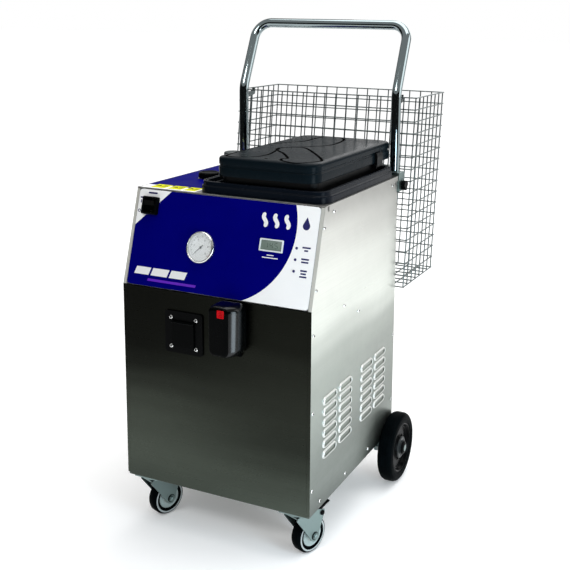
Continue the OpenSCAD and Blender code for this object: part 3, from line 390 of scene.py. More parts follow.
MATS = {
    # Painted reflection and shade: the sides (also used on the top panel and the base tray), the front and
    # the louvre blades take the ramps above.
    "side": brushed("brushed_side_painted_light", (0.86, 0.86, 0.86), (1.0, 1.0, 1.0), GRAIN_BACK, 0.33, SIDE_PAINTED_LIGHT),
    "front": brushed("brushed_front_painted_light", (0.85, 0.85, 0.85), (1.0, 1.0, 1.0), GRAIN_ACROSS, 0.30, FRONT_PAINTED_LIGHT),
    "steel": brushed("brushed_plain", (0.56, 0.57, 0.56), (0.68, 0.69, 0.67), (5, 220, 260), 0.3),
    "chrome": plated("chrome", (0.28, 0.335, 0.345), 0.05, 0.04, (0.30, 0.31, 0.30)),
    "zinc": plated("zinc", (0.19, 0.25, 0.245), 0.30, 0.12, (0.16, 0.19, 0.175)),
    "wire": plated("bright_wire", (0.13, 0.155, 0.155), 0.3, 0.12, (0.09, 0.1, 0.095)),
    "screw": plated("screw", (0.7, 0.71, 0.7), 0.2, 0.1),
    # Painted highlight: the louvres' rims, pressed in the same sheet as the sides, are made lighter than it
    # for the light they catch.
    "pressed": brushed("louvre_rim_painted_highlight", (0.66, 0.67, 0.65), (0.80, 0.81, 0.79), GRAIN_BACK, 0.40),
    "lid": moulded("lid_moulding", (0.0032, 0.0066, 0.0092), 0.25, spec=0.035, scuff=0.2),
    "tub": moulded("tub_moulding", (0.0026, 0.0045, 0.0080), 0.25, spec=0.06, scuff=0.3),
    "tank": moulded("tank_moulding", (0.0025, 0.0028, 0.0032), 0.40, spec=0.12),
    "black": moulded("black_moulding", (0.0010, 0.0013, 0.0015), 0.34, spec=0.035, scuff=0.15),
    # Painted shade: a darker, matt black for the walls of the lid's grooves and hole and for the screw heads'
    # sockets.
    "groove": moulded("groove", (0.0006, 0.0006, 0.0008), 0.8, spec=0.02),
    "shell": glossy("gloss_shell", (0.0005, 0.0008, 0.0010), 0.15, 0.0, 0.26),
    "inside": brushed("louvre_inside_painted_light", (0.88, 0.87, 0.85), (1.0, 0.99, 0.97), GRAIN_BACK, 0.40, SIDE_PAINTED_LIGHT),
    "gloss": glossy("gloss_black", (0.0005, 0.0008, 0.0009), 0.16, 0.0, 0.03),
    "grey_cap": moulded("grey_cap", (0.045, 0.055, 0.055), 0.36),
    "tyre": rubbery("tyre", (0.0010, 0.0017, 0.0021), (0.0026, 0.0043, 0.0052), 0.40, 0.006),
    "rubber": rubbery("rubber", (0.01, 0.01, 0.011), (0.03, 0.03, 0.032)),
    "ring": rubbery("grey_ring", (0.32, 0.35, 0.35), (0.42, 0.44, 0.43), 0.5),
    "hub": moulded("hub_black", (0.0008, 0.0012, 0.0014), 0.20, spec=0.03, scuff=0.15),
    # Painted sheen: the hub's ring round the centre is glossier, and painted a lighter grey for its
    # reflection.
    "hub_ring_sheen": moulded("hub_ring_sheen", (0.012, 0.016, 0.017), 0.30, spec=0.15, scuff=0.2),
    "hub_pale": moulded("hub_pale", (0.30, 0.365, 0.355), 0.35, scuff=0.2),
    "red": glossy("red_button", (0.50, 0.003, 0.007), 0.3, 0.0, 0.06),
    "orange": moulded("orange", (0.75, 0.22, 0.02), 0.4),
    "white": moulded("white_print", (0.85, 0.86, 0.86), 0.4, scuff=0.1),
    "ink": moulded("blue_print", (0.006, 0.005, 0.10), 0.4, scuff=0.1),
    "violet": moulded("violet_print", (0.12, 0.012, 0.50), 0.4, scuff=0.1),
    "yellow": moulded("yellow_print", (0.66, 0.66, 0.0), 0.5, scuff=0.1, spec=0.05),
    # Painted highlight: a light grey for the side panels' folded edges beside the sloping panel.
    "edge": moulded("fold_edge_painted_highlight", (0.50, 0.50, 0.46), 0.34, spec=0.4),
    "bezel": moulded("display_bezel", (0.70, 0.74, 0.76), 0.35),
    "lcd": glossy("display_glass", (0.17, 0.22, 0.19), 0.15),
    "segment": glossy("display_segment", (0.07, 0.095, 0.08), 0.2),
    "dial": moulded("dial_face", (0.88, 0.90, 0.90), 0.35, scuff=0.12),
    "brass": plated("brass", (0.78, 0.56, 0.27), 0.22, 0.1),
    "copper": plated("copper", (0.75, 0.42, 0.26), 0.3, 0.1),
    "natural": moulded("natural_plastic", (0.72, 0.75, 0.72), 0.35),
    "motor": moulded("motor_paint", (0.16, 0.18, 0.2), 0.4),
    "board": moulded("board_green", (0.02, 0.16, 0.06), 0.35),
    "film": printed_film(),
}


def gauge_glass():
    """Clear glass with faint smudges."""
    p = Paint("gauge_glass")
    smudge = p.noise(30.0, 4.0)
    return p.set(color=(0.9, 0.95, 0.95), rough=p.remap(smudge, 0.4, 0.8, 0.0, 0.05),
                 alpha=p.remap(smudge, 0.3, 0.8, 0.10, 0.14), spec=0.6)


MATS["glass"] = gauge_glass()

# The material of each CAD node that no new piece replaces.
NODE_MATS = {
    "side": ["left_side_panel", "right_side_panel", "top_panel", "base_tray"],
    "front": ["front_panel"],
    "steel": ["control_panel", "rear_panel", "boiler"],
    "film": ["printed_overlay"],
    "screw": ["panel_screws"],
    "zinc": ["handle_clamps", "rear_axle", "castor_plates", "castor_fork_left", "castor_fork_right"],
    "wire": ["basket_hooks"],
    "tank": ["waste_tank", "lid_latch_left", "lid_latch_right"],
    "black": ["clamp_knob_left", "clamp_knob_right", "power_gland", "socket_body", "inlet_housing"],
    "gloss": ["switch_rocker", "socket_flap"],
    "rubber": ["lid_seal"],
    "glass": ["gauge_glass"],
    "ink": ["indicator_lights"],
    "red": ["drain_lever"],
    "orange": ["tank_float"],
    "brass": ["drain_valve"],
    "copper": ["heater_element"],
    "natural": ["supply_tanks"],
    "motor": ["vacuum_motor", "water_pump"],
    "board": ["control_board"],
}
for key, names in NODE_MATS.items():
    for name in names:
        mesh = NODES[name].data
        mesh.materials.clear()
        mesh.materials.append(MATS[key])
        for face in mesh.polygons:
            face.material_index = 0

# The side panels' folded front edges, one sheet: beside the front panel they take the front's painted shade,
# beside the sloping one a painted highlight.
for name in ("left_side_panel", "right_side_panel"):
    mesh = NODES[name].data
    mesh.materials.append(MATS["front"])
    mesh.materials.append(MATS["edge"])
    for face in mesh.polygons:
        if face.normal.y < -0.5:
            face.material_index = 2 if face.center.z > FOLD / 1000 else 1


# ---------------------------------------------------------------- mesh building
def finish_mesh(name, bm, keys=()):
    """Turns a bmesh into a mesh with outward normals and the materials of these keys."""
    bmesh.ops.recalc_face_normals(bm, faces=bm.faces)
    mesh = bpy.data.meshes.new(name)
    bm.to_mesh(mesh)
    bm.free()
    for key in keys:
        mesh.materials.append(MATS[key])
    return mesh


def piece(name, bm, keys, body, smooth=35, replaces=()):
    """Finishes a mesh as a piece: smoothing by angle, materials and body; hides the parts it replaces."""
    bmesh.ops.remove_doubles(bm, verts=bm.verts, dist=1e-7)
    keys = [keys] if isinstance(keys, str) else keys
    mesh = finish_mesh(name, bm, keys)
    for face in mesh.polygons:
        face.use_smooth = True
    obj = add_object(name, mesh)
    mesh.set_sharp_from_angle(angle=math.radians(smooth))
    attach(obj, body)
    if replaces:
        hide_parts(*replaces)
    return obj


def result_of(obj):
    """An object's shape, with its modifiers applied, as a new mesh."""
    bpy.context.view_layer.update()
    return bpy.data.meshes.new_from_object(obj.evaluated_get(bpy.context.evaluated_depsgraph_get()))


def carve(target, bm, keys):
    """Cuts a bmesh, whose faces have the materials of these keys, out of target."""
    tool = add_object("tool", finish_mesh("tool", bm, keys))
    cut = target.modifiers.new("cut", "BOOLEAN")
    cut.operation = "DIFFERENCE"
    cut.solver = "EXACT"
    cut.use_self = True
    cut.object = tool
    result = result_of(target)
    target.modifiers.clear()
    target.data = result
    bpy.data.objects.remove(tool)


def ring_faces(bm, a, b, material=0):
    """Joins two rings of vertices with a band of faces."""
    for i in range(len(a)):
        j = (i + 1) % len(a)
        bm.faces.new((a[i], a[j], b[j], b[i])).material_index = material


def loft(bm, loops, close_start=True, close_end=True, materials=None):
    """Skins a list of loops that all have the same number of points."""
    rings = [[bm.verts.new(p) for p in loop] for loop in loops]
    for k in range(len(rings) - 1):
        ring_faces(bm, rings[k], rings[k + 1], materials[k] if materials else 0)
    if close_start:
        bm.faces.new(rings[0][::-1]).material_index = materials[0] if materials else 0
    if close_end:
        bm.faces.new(rings[-1]).material_index = materials[-1] if materials else 0
    return rings


def rounded(w, d, r, steps=8):
    """Outline of a rectangle with rounded corners."""
    r = max(min(r, w / 2 - 0.01, d / 2 - 0.01), 0.05)
    out = []
    for cx, cy, start in ((w / 2 - r, d / 2 - r, 0), (-w / 2 + r, d / 2 - r, 90),
                          (-w / 2 + r, -d / 2 + r, 180), (w / 2 - r, -d / 2 + r, 270)):
        out += arc((cx, cy), r, start, start + 90, steps)
    return out


def soft(points, radii, steps=5):
    """Rounds the corners of an open outline of (r, h) points."""
    out = [points[0]]
    for i in range(1, len(points) - 1):
        radius = radii[i] if isinstance(radii, (list, tuple)) else radii
        a, b, c = (Vector(p) for p in points[i - 1:i + 2])
        u, v = a - b, c - b
        turn = u.angle(v) if u.length and v.length else math.pi
        if radius <= 0 or turn > math.pi - 0.02:
            out.append(tuple(b))
            continue
        back = min(radius / math.tan(turn / 2), u.length * 0.49, v.length * 0.49)
        fitted = back * math.tan(turn / 2)
        u.normalize()
        v.normalize()
        centre = b + (u + v).normalized() * (fitted / math.sin(turn / 2))
        start, end = b + u * back - centre, b + v * back - centre
        sweep = start.angle_signed(end)
        for k in range(steps + 1):
            out.append(tuple(centre + Matrix.Rotation(-sweep * k / steps, 2) @ start))
    out.append(points[-1])
    return out


def lathe(bm, place, profile, segments=64, materials=None, closed=False):
    """Turns (radius, height) points round the z of place."""
    rings = []
    for r, h in profile:
        if r < 1e-4:
            rings.append([bm.verts.new(mm(place, 0, 0, h))] * segments)
            continue
        angles = [2 * math.pi * i / segments for i in range(segments)]
        rings.append([bm.verts.new(mm(place, r * math.cos(a), r * math.sin(a), h)) for a in angles])
    count = len(rings) if closed else len(rings) - 1
    for k in range(count):
        a, b = rings[k], rings[(k + 1) % len(rings)]
        m = materials[k] if materials else 0
        for i in range(segments):
            j = (i + 1) % segments
            corners = []
            for v in (a[i], a[j], b[j], b[i]):
                if v not in corners:
                    corners.append(v)
            if len(corners) > 2:
                bm.faces.new(corners).material_index = m


def rr_block(bm, place, layers, steps=8, start=True, end=True):
    """Stacks rounded rectangles: each layer is (width, depth, radius, height)."""
    loops = [[mm(place, x, y, h) for x, y in rounded(w, d, r, steps)] for w, d, r, h in layers]
    return loft(bm, loops, start, end)


def tube(bm, points, radius, sides=12):
    """Sweeps a circle along points, keeping it square to the path."""
    side = (points[1] - points[0]).normalized().orthogonal().normalized()
    loops = []
    for i, p in enumerate(points):
        along = (points[min(i + 1, len(points) - 1)] - points[max(i - 1, 0)]).normalized()
        side = (side - along * side.dot(along)).normalized()
        other = along.cross(side)
        angles = [2 * math.pi * k / sides for k in range(sides)]
        loops.append([p + radius / 1000 * (math.cos(a) * side + math.sin(a) * other) for a in angles])
    loft(bm, loops)


def arc(centre, radius, start, end, steps):
    """Points of an arc between two angles in degrees."""
    turns = [math.radians(start + (end - start) * i / steps) for i in range(steps + 1)]
    return [(centre[0] + radius * math.cos(a), centre[1] + radius * math.sin(a)) for a in turns]


def plate(bm, outline, place, low, high, edge=0.0, material=0):
    """Prism of a flat outline, in mm, with an optional softened upper edge."""
    pts = [Vector(p) for p in outline]
    if sum(a.x * b.y - b.x * a.y for a, b in zip(pts, pts[1:] + pts[:1])) < 0:
        pts.reverse()

    def inset(amount):
        out = []
        for a, b, c in zip(pts[-1:] + pts[:-1], pts, pts[1:] + pts[:1]):
            before, after = (b - a).normalized(), (c - b).normalized()
            n1, n2 = Vector((-before.y, before.x)), Vector((-after.y, after.x))
            m = n1 + n2
            m = m / max(m.dot(n1), 0.3) if m.length > 1e-6 else n1
            out.append(b + m * amount)
        return out

    levels = [(0, low), (0, high - edge)]
    if edge:
        levels += [(edge * 0.3, high - edge * 0.3), (edge, high)]
    loops = [[mm(place, p.x, p.y, h) for p in inset(i)] for i, h in levels]
    loft(bm, loops, materials=[material] * len(loops))


# ---------------------------------------------------------------- handle
def handle():
    spacing, y0, corner, bend = 193.0, 458.0, 38.0, 60.0
    foot_z, middle_z, bend_z, bar_z, back = 664.3, 760.0, 882.0, 1032.0, 68.7
    lean = math.atan2(back, bar_z - bend_z)
    length = math.hypot(back, bar_z - bend_z)
    t = bend * math.tan(lean / 2)

    def up(s):
        """The y and z of a point s up the leaning stretch."""
        return y0 + s * math.sin(lean), bend_z + s * math.cos(lean)

    points = [(spacing, y0, z) for z in (foot_z, middle_z, bend_z - t)]
    for i in range(1, 9):
        a = lean * i / 8
        points.append((spacing, y0 + bend * (1 - math.cos(a)), bend_z - t + bend * math.sin(a)))
    for s in ((length - corner + t) / 2, length - corner):
        points.append((spacing, *up(s)))
    for i in range(1, 15):
        a = math.radians(90 * i / 14)
        points.append((spacing - corner + corner * math.cos(a), *up(length - corner + corner * math.sin(a))))
    right = [P(*p) for p in points]
    left = [P(-x, y, z) for x, y, z in reversed(points)]
    bm = bmesh.new()
    tube(bm, right + [P(0, *up(length))] + left, 11.0, 40)
    piece("handle_bar", bm, "chrome", "cabinet", 50, ["handle_tube"])


handle()


# ---------------------------------------------------------------- basket of crossed round wires
def basket():
    w, d, y0, low, high, lean = 449.0, 195.7, 447.5, 447.0, 872.0, 51.5
    cols, rows, deep = 16, 16, 7
    half = w / 2
    slope = math.atan2(lean, high - low)
    slant = math.hypot(lean, high - low)
    columns = [-half + w * i / cols for i in range(cols + 1)]
    levels = [slant * j / rows for j in range(rows + 1)]
    depths = [d * i / deep for i in range(1, deep)]

    def at(x, depth, up, off=0.0):
        """A point of the mesh: up the slant, and off square to the front's plane."""
        v = up / slant
        return P(x, y0 + depth + lean * v + math.cos(slope) * off,
                 low + (high - low) * v - math.sin(slope) * off)

    def wire(bm, start, end, radius=1.5):
        tube(bm, [at(*start), at(*end)], radius, 8)

    for name, depth, sign in (("front", 0.0, 1), ("back", d, -1)):
        bm = bmesh.new()
        for x in columns:
            wire(bm, (x, depth, -1, sign), (x, depth, slant + 1, sign))
        for u in levels:
            wire(bm, (-half - 3, depth, u, -0.25 * sign), (half + 3, depth, u, -0.25 * sign), 1.4)
        piece("mesh_" + name, bm, "wire", "basket", 60, ["basket_" + name])
    bm = bmesh.new()
    for side in (-1, 1):
        for depth in depths:
            wire(bm, (side * (half - 0.6), depth, -1), (side * (half - 0.6), depth, slant + 1))
        for u in levels:
            wire(bm, (side * (half + 0.9), 0.0, u), (side * (half + 0.9), d, u))
    piece("mesh_sides", bm, "wire", "basket", 60, ["basket_sides"])
    bm = bmesh.new()
    for x in columns[1:-1]:
        wire(bm, (x, 1.2, 0), (x, d - 1.2, 0))
    for depth in depths:
        wire(bm, (-half + 1, depth, 1.8), (half - 1, depth, 1.8))
    piece("mesh_base", bm, "wire", "basket", 60, ["basket_base"])


basket()


# ---------------------------------------------------------------- waste tank lid
def smooth_loop(points, per=6):
    """Closed Catmull-Rom curve through points."""
    out = []
    n = len(points)
    for i in range(n):
        p0, p1, p2, p3 = (Vector(points[(i + k) % n]) for k in (-1, 0, 1, 2))
        for k in range(per):
            t = k / per
            out.append(0.5 * ((2 * p1) + (p2 - p0) * t + (2 * p0 - 5 * p1 + 4 * p2 - p3) * t * t
                              + (3 * p1 - p0 - 3 * p2 + p3) * t ** 3))
    return out


# Centre lines of the two pressed figures on the lid, (x, y) from the cabinet, and their groove's section.
SWOOSH = [(-22, 92), (-27, 144), (-30, 224), (-30, 262), (-4, 315), (19, 352), (20, 402), (26, 444),
          (47, 456), (80, 430), (94, 382), (95, 323), (71, 287), (49, 264), (30, 245), (22, 232),
          (30, 204), (44, 146), (41, 110), (28, 90), (4, 80), (-14, 82)]
POCKET = [(22, 232), (45, 258), (76, 250), (163, 135), (168, 103), (149, 76), (126, 73), (101, 86),
          (94, 106), (100, 115), (64, 167), (30, 204)]
GROOVE = ((-3.6, 2.4), (3.6, 2.4), (2.4, -3.0), (-2.4, -3.0))


def lid():
    w, d, base, top, place = footprint("tank_lid")
    outer = soft([(0.8, base), (0, base + 1.2), (0, base + 17), (1.6, base + 18.5), (1.6, base + 21.5),
                  (0.2, base + 23), (0.2, top - 7), (1.2, top - 2.2), (6, top - 0.8), (13, top)],
                 [0, 0.8, 1, 0.8, 0.8, 1.2, 3, 3.5, 5, 0], 4)
    layers = [(w - 2 * i, d - 2 * i, 30 - i * 0.8, h) for i, h in outer]
    bm = bmesh.new()
    rings = rr_block(bm, place, layers, 12, start=False)
    hollow = rr_block(bm, place, [(w - 10, d - 10, 26, h) for h in (base, top - 6.2)], 12, start=False)
    ring_faces(bm, rings[0], hollow[0])
    shell = piece("lid_shell", bm, ["lid", "groove"], "lid", 32, ["tank_lid"])

    bm = bmesh.new()
    for path in (SWOOSH, POCKET):
        loop = smooth_loop(path)
        rings = []
        for i, p in enumerate(loop):
            s = (loop[(i + 1) % len(loop)] - loop[i - 1]).normalized().orthogonal()
            rings.append([bm.verts.new(P(*(p + s * a), top + b)) for a, b in GROOVE])
        for i in range(len(rings)):
            ring_faces(bm, rings[i], rings[(i + 1) % len(rings)], 1)
    dot = Matrix.Translation(P(66, 90, 0))
    lathe(bm, dot, [(0, top - 3), (3.4, top - 3), (3.8, top + 2), (0, top + 2)], 20, [1, 1, 1])
    # The grooves' and the hole's walls take the painted-shade black.
    carve(shell, bm, ["lid", "groove"])


lid()


# ---------------------------------------------------------------- moulded tray and caps
def tray():
    w, d, low, top, place = footprint("tub_tray")
    seat = TOP + 0.05
    outline = soft([(-9, seat), (0, seat), (0, seat + 12.5), (3.2, seat + 15.5), (3.2, top), (7.2, top),
                    (7.5, top - 2.4), (8.9, top - 2.4), (9.2, top - 0.3), (12, top - 0.3), (12.3, top - 9),
                    (13.4, top - 10), (13.5, low + 3)],
                   [0, 0.6, 3.5, 1.6, 3.2, 0.5, 0.4, 0.4, 0.5, 1.2, 0.6, 0.6, 0], 5)
    layers = [(w - 18, d - 18, 21, h) for h in (low, seat - 0.5)]
    layers += [(w - 2 * i, d - 2 * i, max(30 - i, 17), h) for i, h in outline[1:]]
    bm = bmesh.new()
    rr_block(bm, place, layers, 14)
    piece("tray_moulding", bm, "tub", "cabinet", 40, ["tub_tray"])


def ribbed(bm, place, radius, low, high, ribs, neck, neck_low):
    """Screw cap: ribbed skirt, rounded shoulder, dished top and a plain neck below."""
    count = ribs * 8
    turns = [2 * math.pi * i / count for i in range(count)]

    def skirt(r, h, bite):
        """A ring whose ribs are cut in by bite."""
        radii = [r - bite * (0.5 - 0.5 * math.cos(ribs * a)) ** 3 for a in turns]
        return [mm(place, c * math.cos(a), c * math.sin(a), h) for c, a in zip(radii, turns)]

    loft(bm, [skirt(r, h, bite) for r, h, bite in (
        (neck, neck_low, 0), (neck, low, 0), (radius - 0.8, low, 0.4), (radius, low + 0.8, 0.9),
        (radius, high - 3.2, 0.9), (radius - 0.5, high - 1.6, 0.5), (radius - 1.6, high - 0.5, 0.1),
        (radius - 3, high, 0), (radius - 6, high, 0), (radius - 7, high - 1.0, 0),
        (radius - 12, high - 1.4, 0))])


def caps():
    for node, key, ribs, neck, skirt in (("water_cap", "black", 22, 15, 12),
                                         ("detergent_cap", "grey_cap", 20, 12, 15)):
        width, _, low, top, place = footprint(node)
        bm = bmesh.new()
        ribbed(bm, place, width / 2, top - skirt, top, ribs, neck, low)
        piece(node + "_moulding", bm, key, node, 40, [node])


tray()
caps()


# ---------------------------------------------------------------- louvres
LOUVRE_COLUMNS = (85, 160, 272, 347)
LOUVRE_ROWS = [210 + 22 * k for k in range(6)]
# The pressed rim: length, height and how far it stands out from the side, from outside in.
LOUVRE_RIM = ((62.4, 17.4, -0.1), (61.8, 16.8, 0.6), (60.6, 15.6, 2.2), (59.4, 14.4, 3.1), (58.0, 13.0, 3.2),
              (57.0, 12.0, 2.6), (56.4, 11.4, 1.4), (56.0, 11.0, -3.4))


# The blade inside a rim: its length and height, how far out its middle lies, and its lean outwards downwards.
BLADE = (56.6, 11.6)
BLADE_OUT, BLADE_LEAN = 1.294, 0.07


def stadium(length, height):
    """Outline of a slot with round ends."""
    r = height / 2
    c = length / 2 - r
    return arc((c, 0), r, -90, 90, 8) + arc((-c, 0), r, 90, 270, 8)


def louvres():
    for side, name in SIDES:
        rims, blades = bmesh.new(), bmesh.new()
        for y in LOUVRE_COLUMNS:
            for z in LOUVRE_ROWS:
                loft(rims, [[P(side * (HALF + out), y + a, z + b) for a, b in stadium(length, height)]
                            for length, height, out in LOUVRE_RIM], False, False)
                face = [P(side * (HALF + BLADE_OUT - BLADE_LEAN * b), y + a, z + b)
                        for a, b in stadium(*BLADE)]
                loft(blades, [[p - Vector((side * 0.0006, 0, 0)) for p in face], face])
        # Each rim carries the painted highlight.
        piece("louvre_rims_" + name, rims, "pressed", "cabinet", 60)
        piece("louvre_blades_" + name, blades, "inside", "cabinet", 30)


louvres()


# ---------------------------------------------------------------- artwork on the film
def slanted(w, h, lean=0.0):
    return [(-w / 2 - lean, -h / 2), (w / 2 - lean, -h / 2), (w / 2 + lean, h / 2), (-w / 2 + lean, h / 2)]


def wave(height, width, stroke, steps=26):
    """Outline of an upright wavy stroke."""
    left, right = [], []
    for i in range(steps + 1):
        t = i / steps
        x = width * math.sin(2 * math.pi * t)
        dx = width * 2 * math.pi / height * math.cos(2 * math.pi * t)
        taper = min(1.0, 0.35 + 3.2 * min(t, 1 - t) ** 0.7)
        n = Vector((1, -dx)).normalized() * stroke / 2 * taper
        left.append((x - n.x, height * (t - 0.5) - n.y))
        right.append((x + n.x, height * (t - 0.5) + n.y))
    return left + right[::-1]


def droplet(height, width):
    r = width / 2
    return arc((0, r - height / 2), r, -205, 25, 30) + [(0.25, height / 2), (-0.25, height / 2)]


# The ink's lower and upper face above the film.
INK = (0.004, 0.08)


def artwork():
    groups = {key: [] for key in ("white", "ink", "violet", "yellow", "black")}

    def put(key, outline, x, s):
        """Prints a shape on the sloping panel."""
        groups[key].append((outline, slope_place(x, s)))

    def lay(key, outline, x, y, lift=0.0):
        """Prints a shape on the top."""
        groups[key].append((outline, Matrix.Translation(P(x, y, TOP + FILM + lift))))

    for k in range(3):
        put("white", wave(26, 3.4, 8.2), 89 + 24 * k, 159)
    put("ink", droplet(24, 15), 177, 160)
    for x, w in ((-168, 34), (-127, 38), (-85, 36)):
        put("white", slanted(w, 15, 2.4), x, 31)
    put("violet", slanted(112, 5.0, 0.8), -98, 14.5)
    for w, s in ((15, 93.5), (34, 88.5)):
        put("white", rounded(w, 1.7, 0.83, 6), 110, s)
    for s, widths in ((113, (15, 7)), (91.5, (14, 13)), (70, (12, 10, 13))):
        for i, w in enumerate(widths):
            put("ink", rounded(1.15 * w, 3.1, 0.9, 6), 183, s + 2.6 - 5.6 * i)
    put("ink", rounded(21, 3.2, 0.9, 6), -170, 186.6)
    put("ink", rounded(8, 3.0, 0.9, 6), -194.5, 176)
    put("ink", rounded(2.0, 6.4, 0.3, 6), -195.5, 168)
    for a0 in range(0, 360, 30):
        put("ink", arc((0, 0), 3.3, a0, a0 + 30.5, 4) + arc((0, 0), 1.9, a0 + 30.5, a0, 4), -197, 149)
    for x, w in ((-170, 34), (-131, 32), (-95, 28)):
        lay("yellow", rounded(w, 34, 1.0, 3), x, 82)
        lay("black", [(-6, -3), (6, -3), (0, 8)], x - w * 0.2, 84, 0.1)
        for k in range(3):
            lay("black", rounded(w * 0.34, 2.2, 0.5, 6), x + w * 0.22, 90 - 6 * k, 0.1)
    lay("white", arc((0, 0), 34, 20, 88, 14) + arc((0, 0), 30.5, 88, 20, 14), -138, 212)
    for key, shapes in groups.items():
        bm = bmesh.new()
        for outline, place in shapes:
            plate(bm, outline, place, *INK)
        piece("print_" + key, bm, key, "cabinet", 30)


artwork()


# ---------------------------------------------------------------- gauge
GAUGE_AT = (-41, 91)
# Degrees: where the dial's zero lies, and how far round its scale runs.
DIAL_START, DIAL_SWEEP = 225, 270
DIAL_FACE = 2.25


def dial_turn(part):
    """The angle in degrees of a part of the scale, from 0 to 1."""
    return DIAL_START - DIAL_SWEEP * part


def gauge():
    place = slope_place(*GAUGE_AT)
    bm = bmesh.new()
    rim = soft([(26, -32), (26, 0), (31, 0), (31, 6.6), (28.6, 8.5), (27.2, 8.2), (27.0, 2.0), (0, 2.0)],
               [0, 0, 0.8, 2.6, 1.2, 0.8, 0, 0], 5)
    lathe(bm, place, [(0, -32)] + rim, 96)
    piece("gauge_rim", bm, "screw", "cabinet", 35, ["gauge_case"])
    bm = bmesh.new()
    lathe(bm, place, [(0, 2.0), (26.9, 2.0), (26.9, DIAL_FACE), (0, DIAL_FACE)], 96)
    for k in range(51):
        long, wide = (2.2, 0.28) if k % 5 else (4.2, 0.55)
        turn = place @ Matrix.Rotation(math.radians(dial_turn(k / 50)), 4, "Z")
        mark = turn @ Matrix.Translation((0.0235 - long / 2000, 0, 0))
        plate(bm, slanted(long, wide), mark, DIAL_FACE, 2.32, material=1)
    for k in range(10):
        a0, a1 = dial_turn(0.8 + 0.02 * k), dial_turn(0.82 + 0.02 * k)
        band = arc((0, 0), 24.6, a0, a1, 3) + arc((0, 0), 24.0, a1, a0, 3)
        plate(bm, band, place, DIAL_FACE, 2.33, material=2)
    piece("gauge_dial", bm, ["dial", "black", "red"], "cabinet", 30)
    for k in range(0, 11, 2):
        text = bpy.data.curves.new("dial_number", "FONT")
        text.body = str(k)
        text.size = 0.0052
        text.align_x = "CENTER"
        text.align_y = "CENTER"
        text.extrude = 0.00003
        obj = add_object("dial_text", text)
        mesh = result_of(obj)
        bpy.data.objects.remove(obj)
        a = math.radians(dial_turn(k / 10))
        mesh.transform(place @ Matrix.Translation((0.0158 * math.cos(a), 0.0158 * math.sin(a), 0.00229)))
        mesh.materials.clear()
        mesh.materials.append(MATS["black"])
        number = add_object("dial_number_%d" % k, mesh)
        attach(number, "cabinet")


def needle():
    place = slope_place(*GAUGE_AT)
    bm = bmesh.new()
    turn = place @ Matrix.Rotation(math.radians(DIAL_START), 4, "Z")
    pointer = [(-6.5, -0.9), (0, -0.8), (19.5, -0.18), (19.5, 0.18), (0, 0.8), (-6.5, 0.9)]
    plate(bm, pointer, turn, 3.4, 3.8, 0.1)
    lathe(bm, place, soft([(0, 2.4), (1.1, 2.4), (1.1, 3.2), (2.4, 3.2), (2.4, 4.2), (0, 4.5)],
                          [0, 0, 0, 0.2, 0.5, 0], 3), 32)
    piece("gauge_pointer", bm, "black", "gauge_needle", 35, ["gauge_needle"])


gauge()
needle()


# ---------------------------------------------------------------- display and switch
# The lit bars of the digits shown, and where each bar lies: across, up, and upright or not.
DIGITS = ("bc", "bcfg", "acdfg")
BARS = {"a": (0, 1, 0), "b": (1, 0.5, 1), "c": (1, -0.5, 1), "d": (0, -1, 0), "f": (-1, 0.5, 1),
        "g": (0, 0, 0)}


def display():
    place = slope_place(110, 112)
    bm = bmesh.new()
    rr_block(bm, place, [(50, 24, 1.5, 0.0), (50, 24, 1.5, 1.5), (49.4, 23.4, 1.3, 2.3),
                         (48.6, 22.6, 1.2, 2.5), (45.2, 19.4, 1.0, 2.5), (44.4, 18.6, 0.8, 1.4),
                         (44.2, 18.4, 0.8, 0.6)], 4)
    rr_block(bm, place, [(43.5, 18.5, 1, -20), (43.5, 18.5, 1, 0)], 4)
    piece("display_bezel", bm, "bezel", "cabinet", 30, ["display"])
    bm = bmesh.new()
    rr_block(bm, place, [(44.0, 18.2, 0.8, 0.62), (44.0, 18.2, 0.8, 1.1), (43.6, 17.8, 0.7, 1.2)], 4)
    piece("display_screen", bm, "lcd", "cabinet", 30)
    bm = bmesh.new()
    tip, end = 2.15, 1.55
    pitch, wide, tall = 10.5, 2.9, 5.2
    bar = [(-tip, 0), (-end, -0.6), (end, -0.6), (tip, 0), (end, 0.6), (-end, 0.6)]
    for i, lit in enumerate(DIGITS):
        for key in lit:
            u, v, upright = BARS[key]
            spot = place @ Matrix.Translation(((pitch * (i - 1) + u * wide) / 1000, v * tall / 1000, 0))
            plate(bm, bar, spot @ Matrix.Rotation(upright * math.pi / 2, 4, "Z"), 1.2, 1.27)
    piece("display_digits", bm, "segment", "cabinet", 30)


def switch():
    place = slope_place(-170, 161)
    bm = bmesh.new()
    layers = [(36, 36, 3, 0), (36, 36, 3, 6.6), (35.2, 35.2, 2.8, 8.4), (33.2, 33.2, 2.4, 9.3),
              (28, 30, 1.4, 9.3), (26.4, 28.4, 1.0, 8.2), (26, 28, 1.0, -15)]
    rings = rr_block(bm, place, layers, 6, start=False, end=False)
    rear = rr_block(bm, place, [(30, 30, 2, -20.4), (30, 30, 2, 0)], 6, start=False, end=False)
    ring_faces(bm, rear[1], rings[0])
    ring_faces(bm, rings[-1], rear[0])
    piece("switch_frame", bm, "black", "cabinet", 35, ["switch_housing"])


display()
switch()


# ---------------------------------------------------------------- hose inlet
# The cover's bow: inset of its far side and of its ends, and the turning of its near side as
# (from degrees, to degrees, length in mm), going out from its flat front.
COVER_BOW = (7.0, 10.0)
COVER_CURVE = ((0, 42, 10.0), (42, 72, 26.0), (72, 90, 8.0))
COVER_STEPS = 8


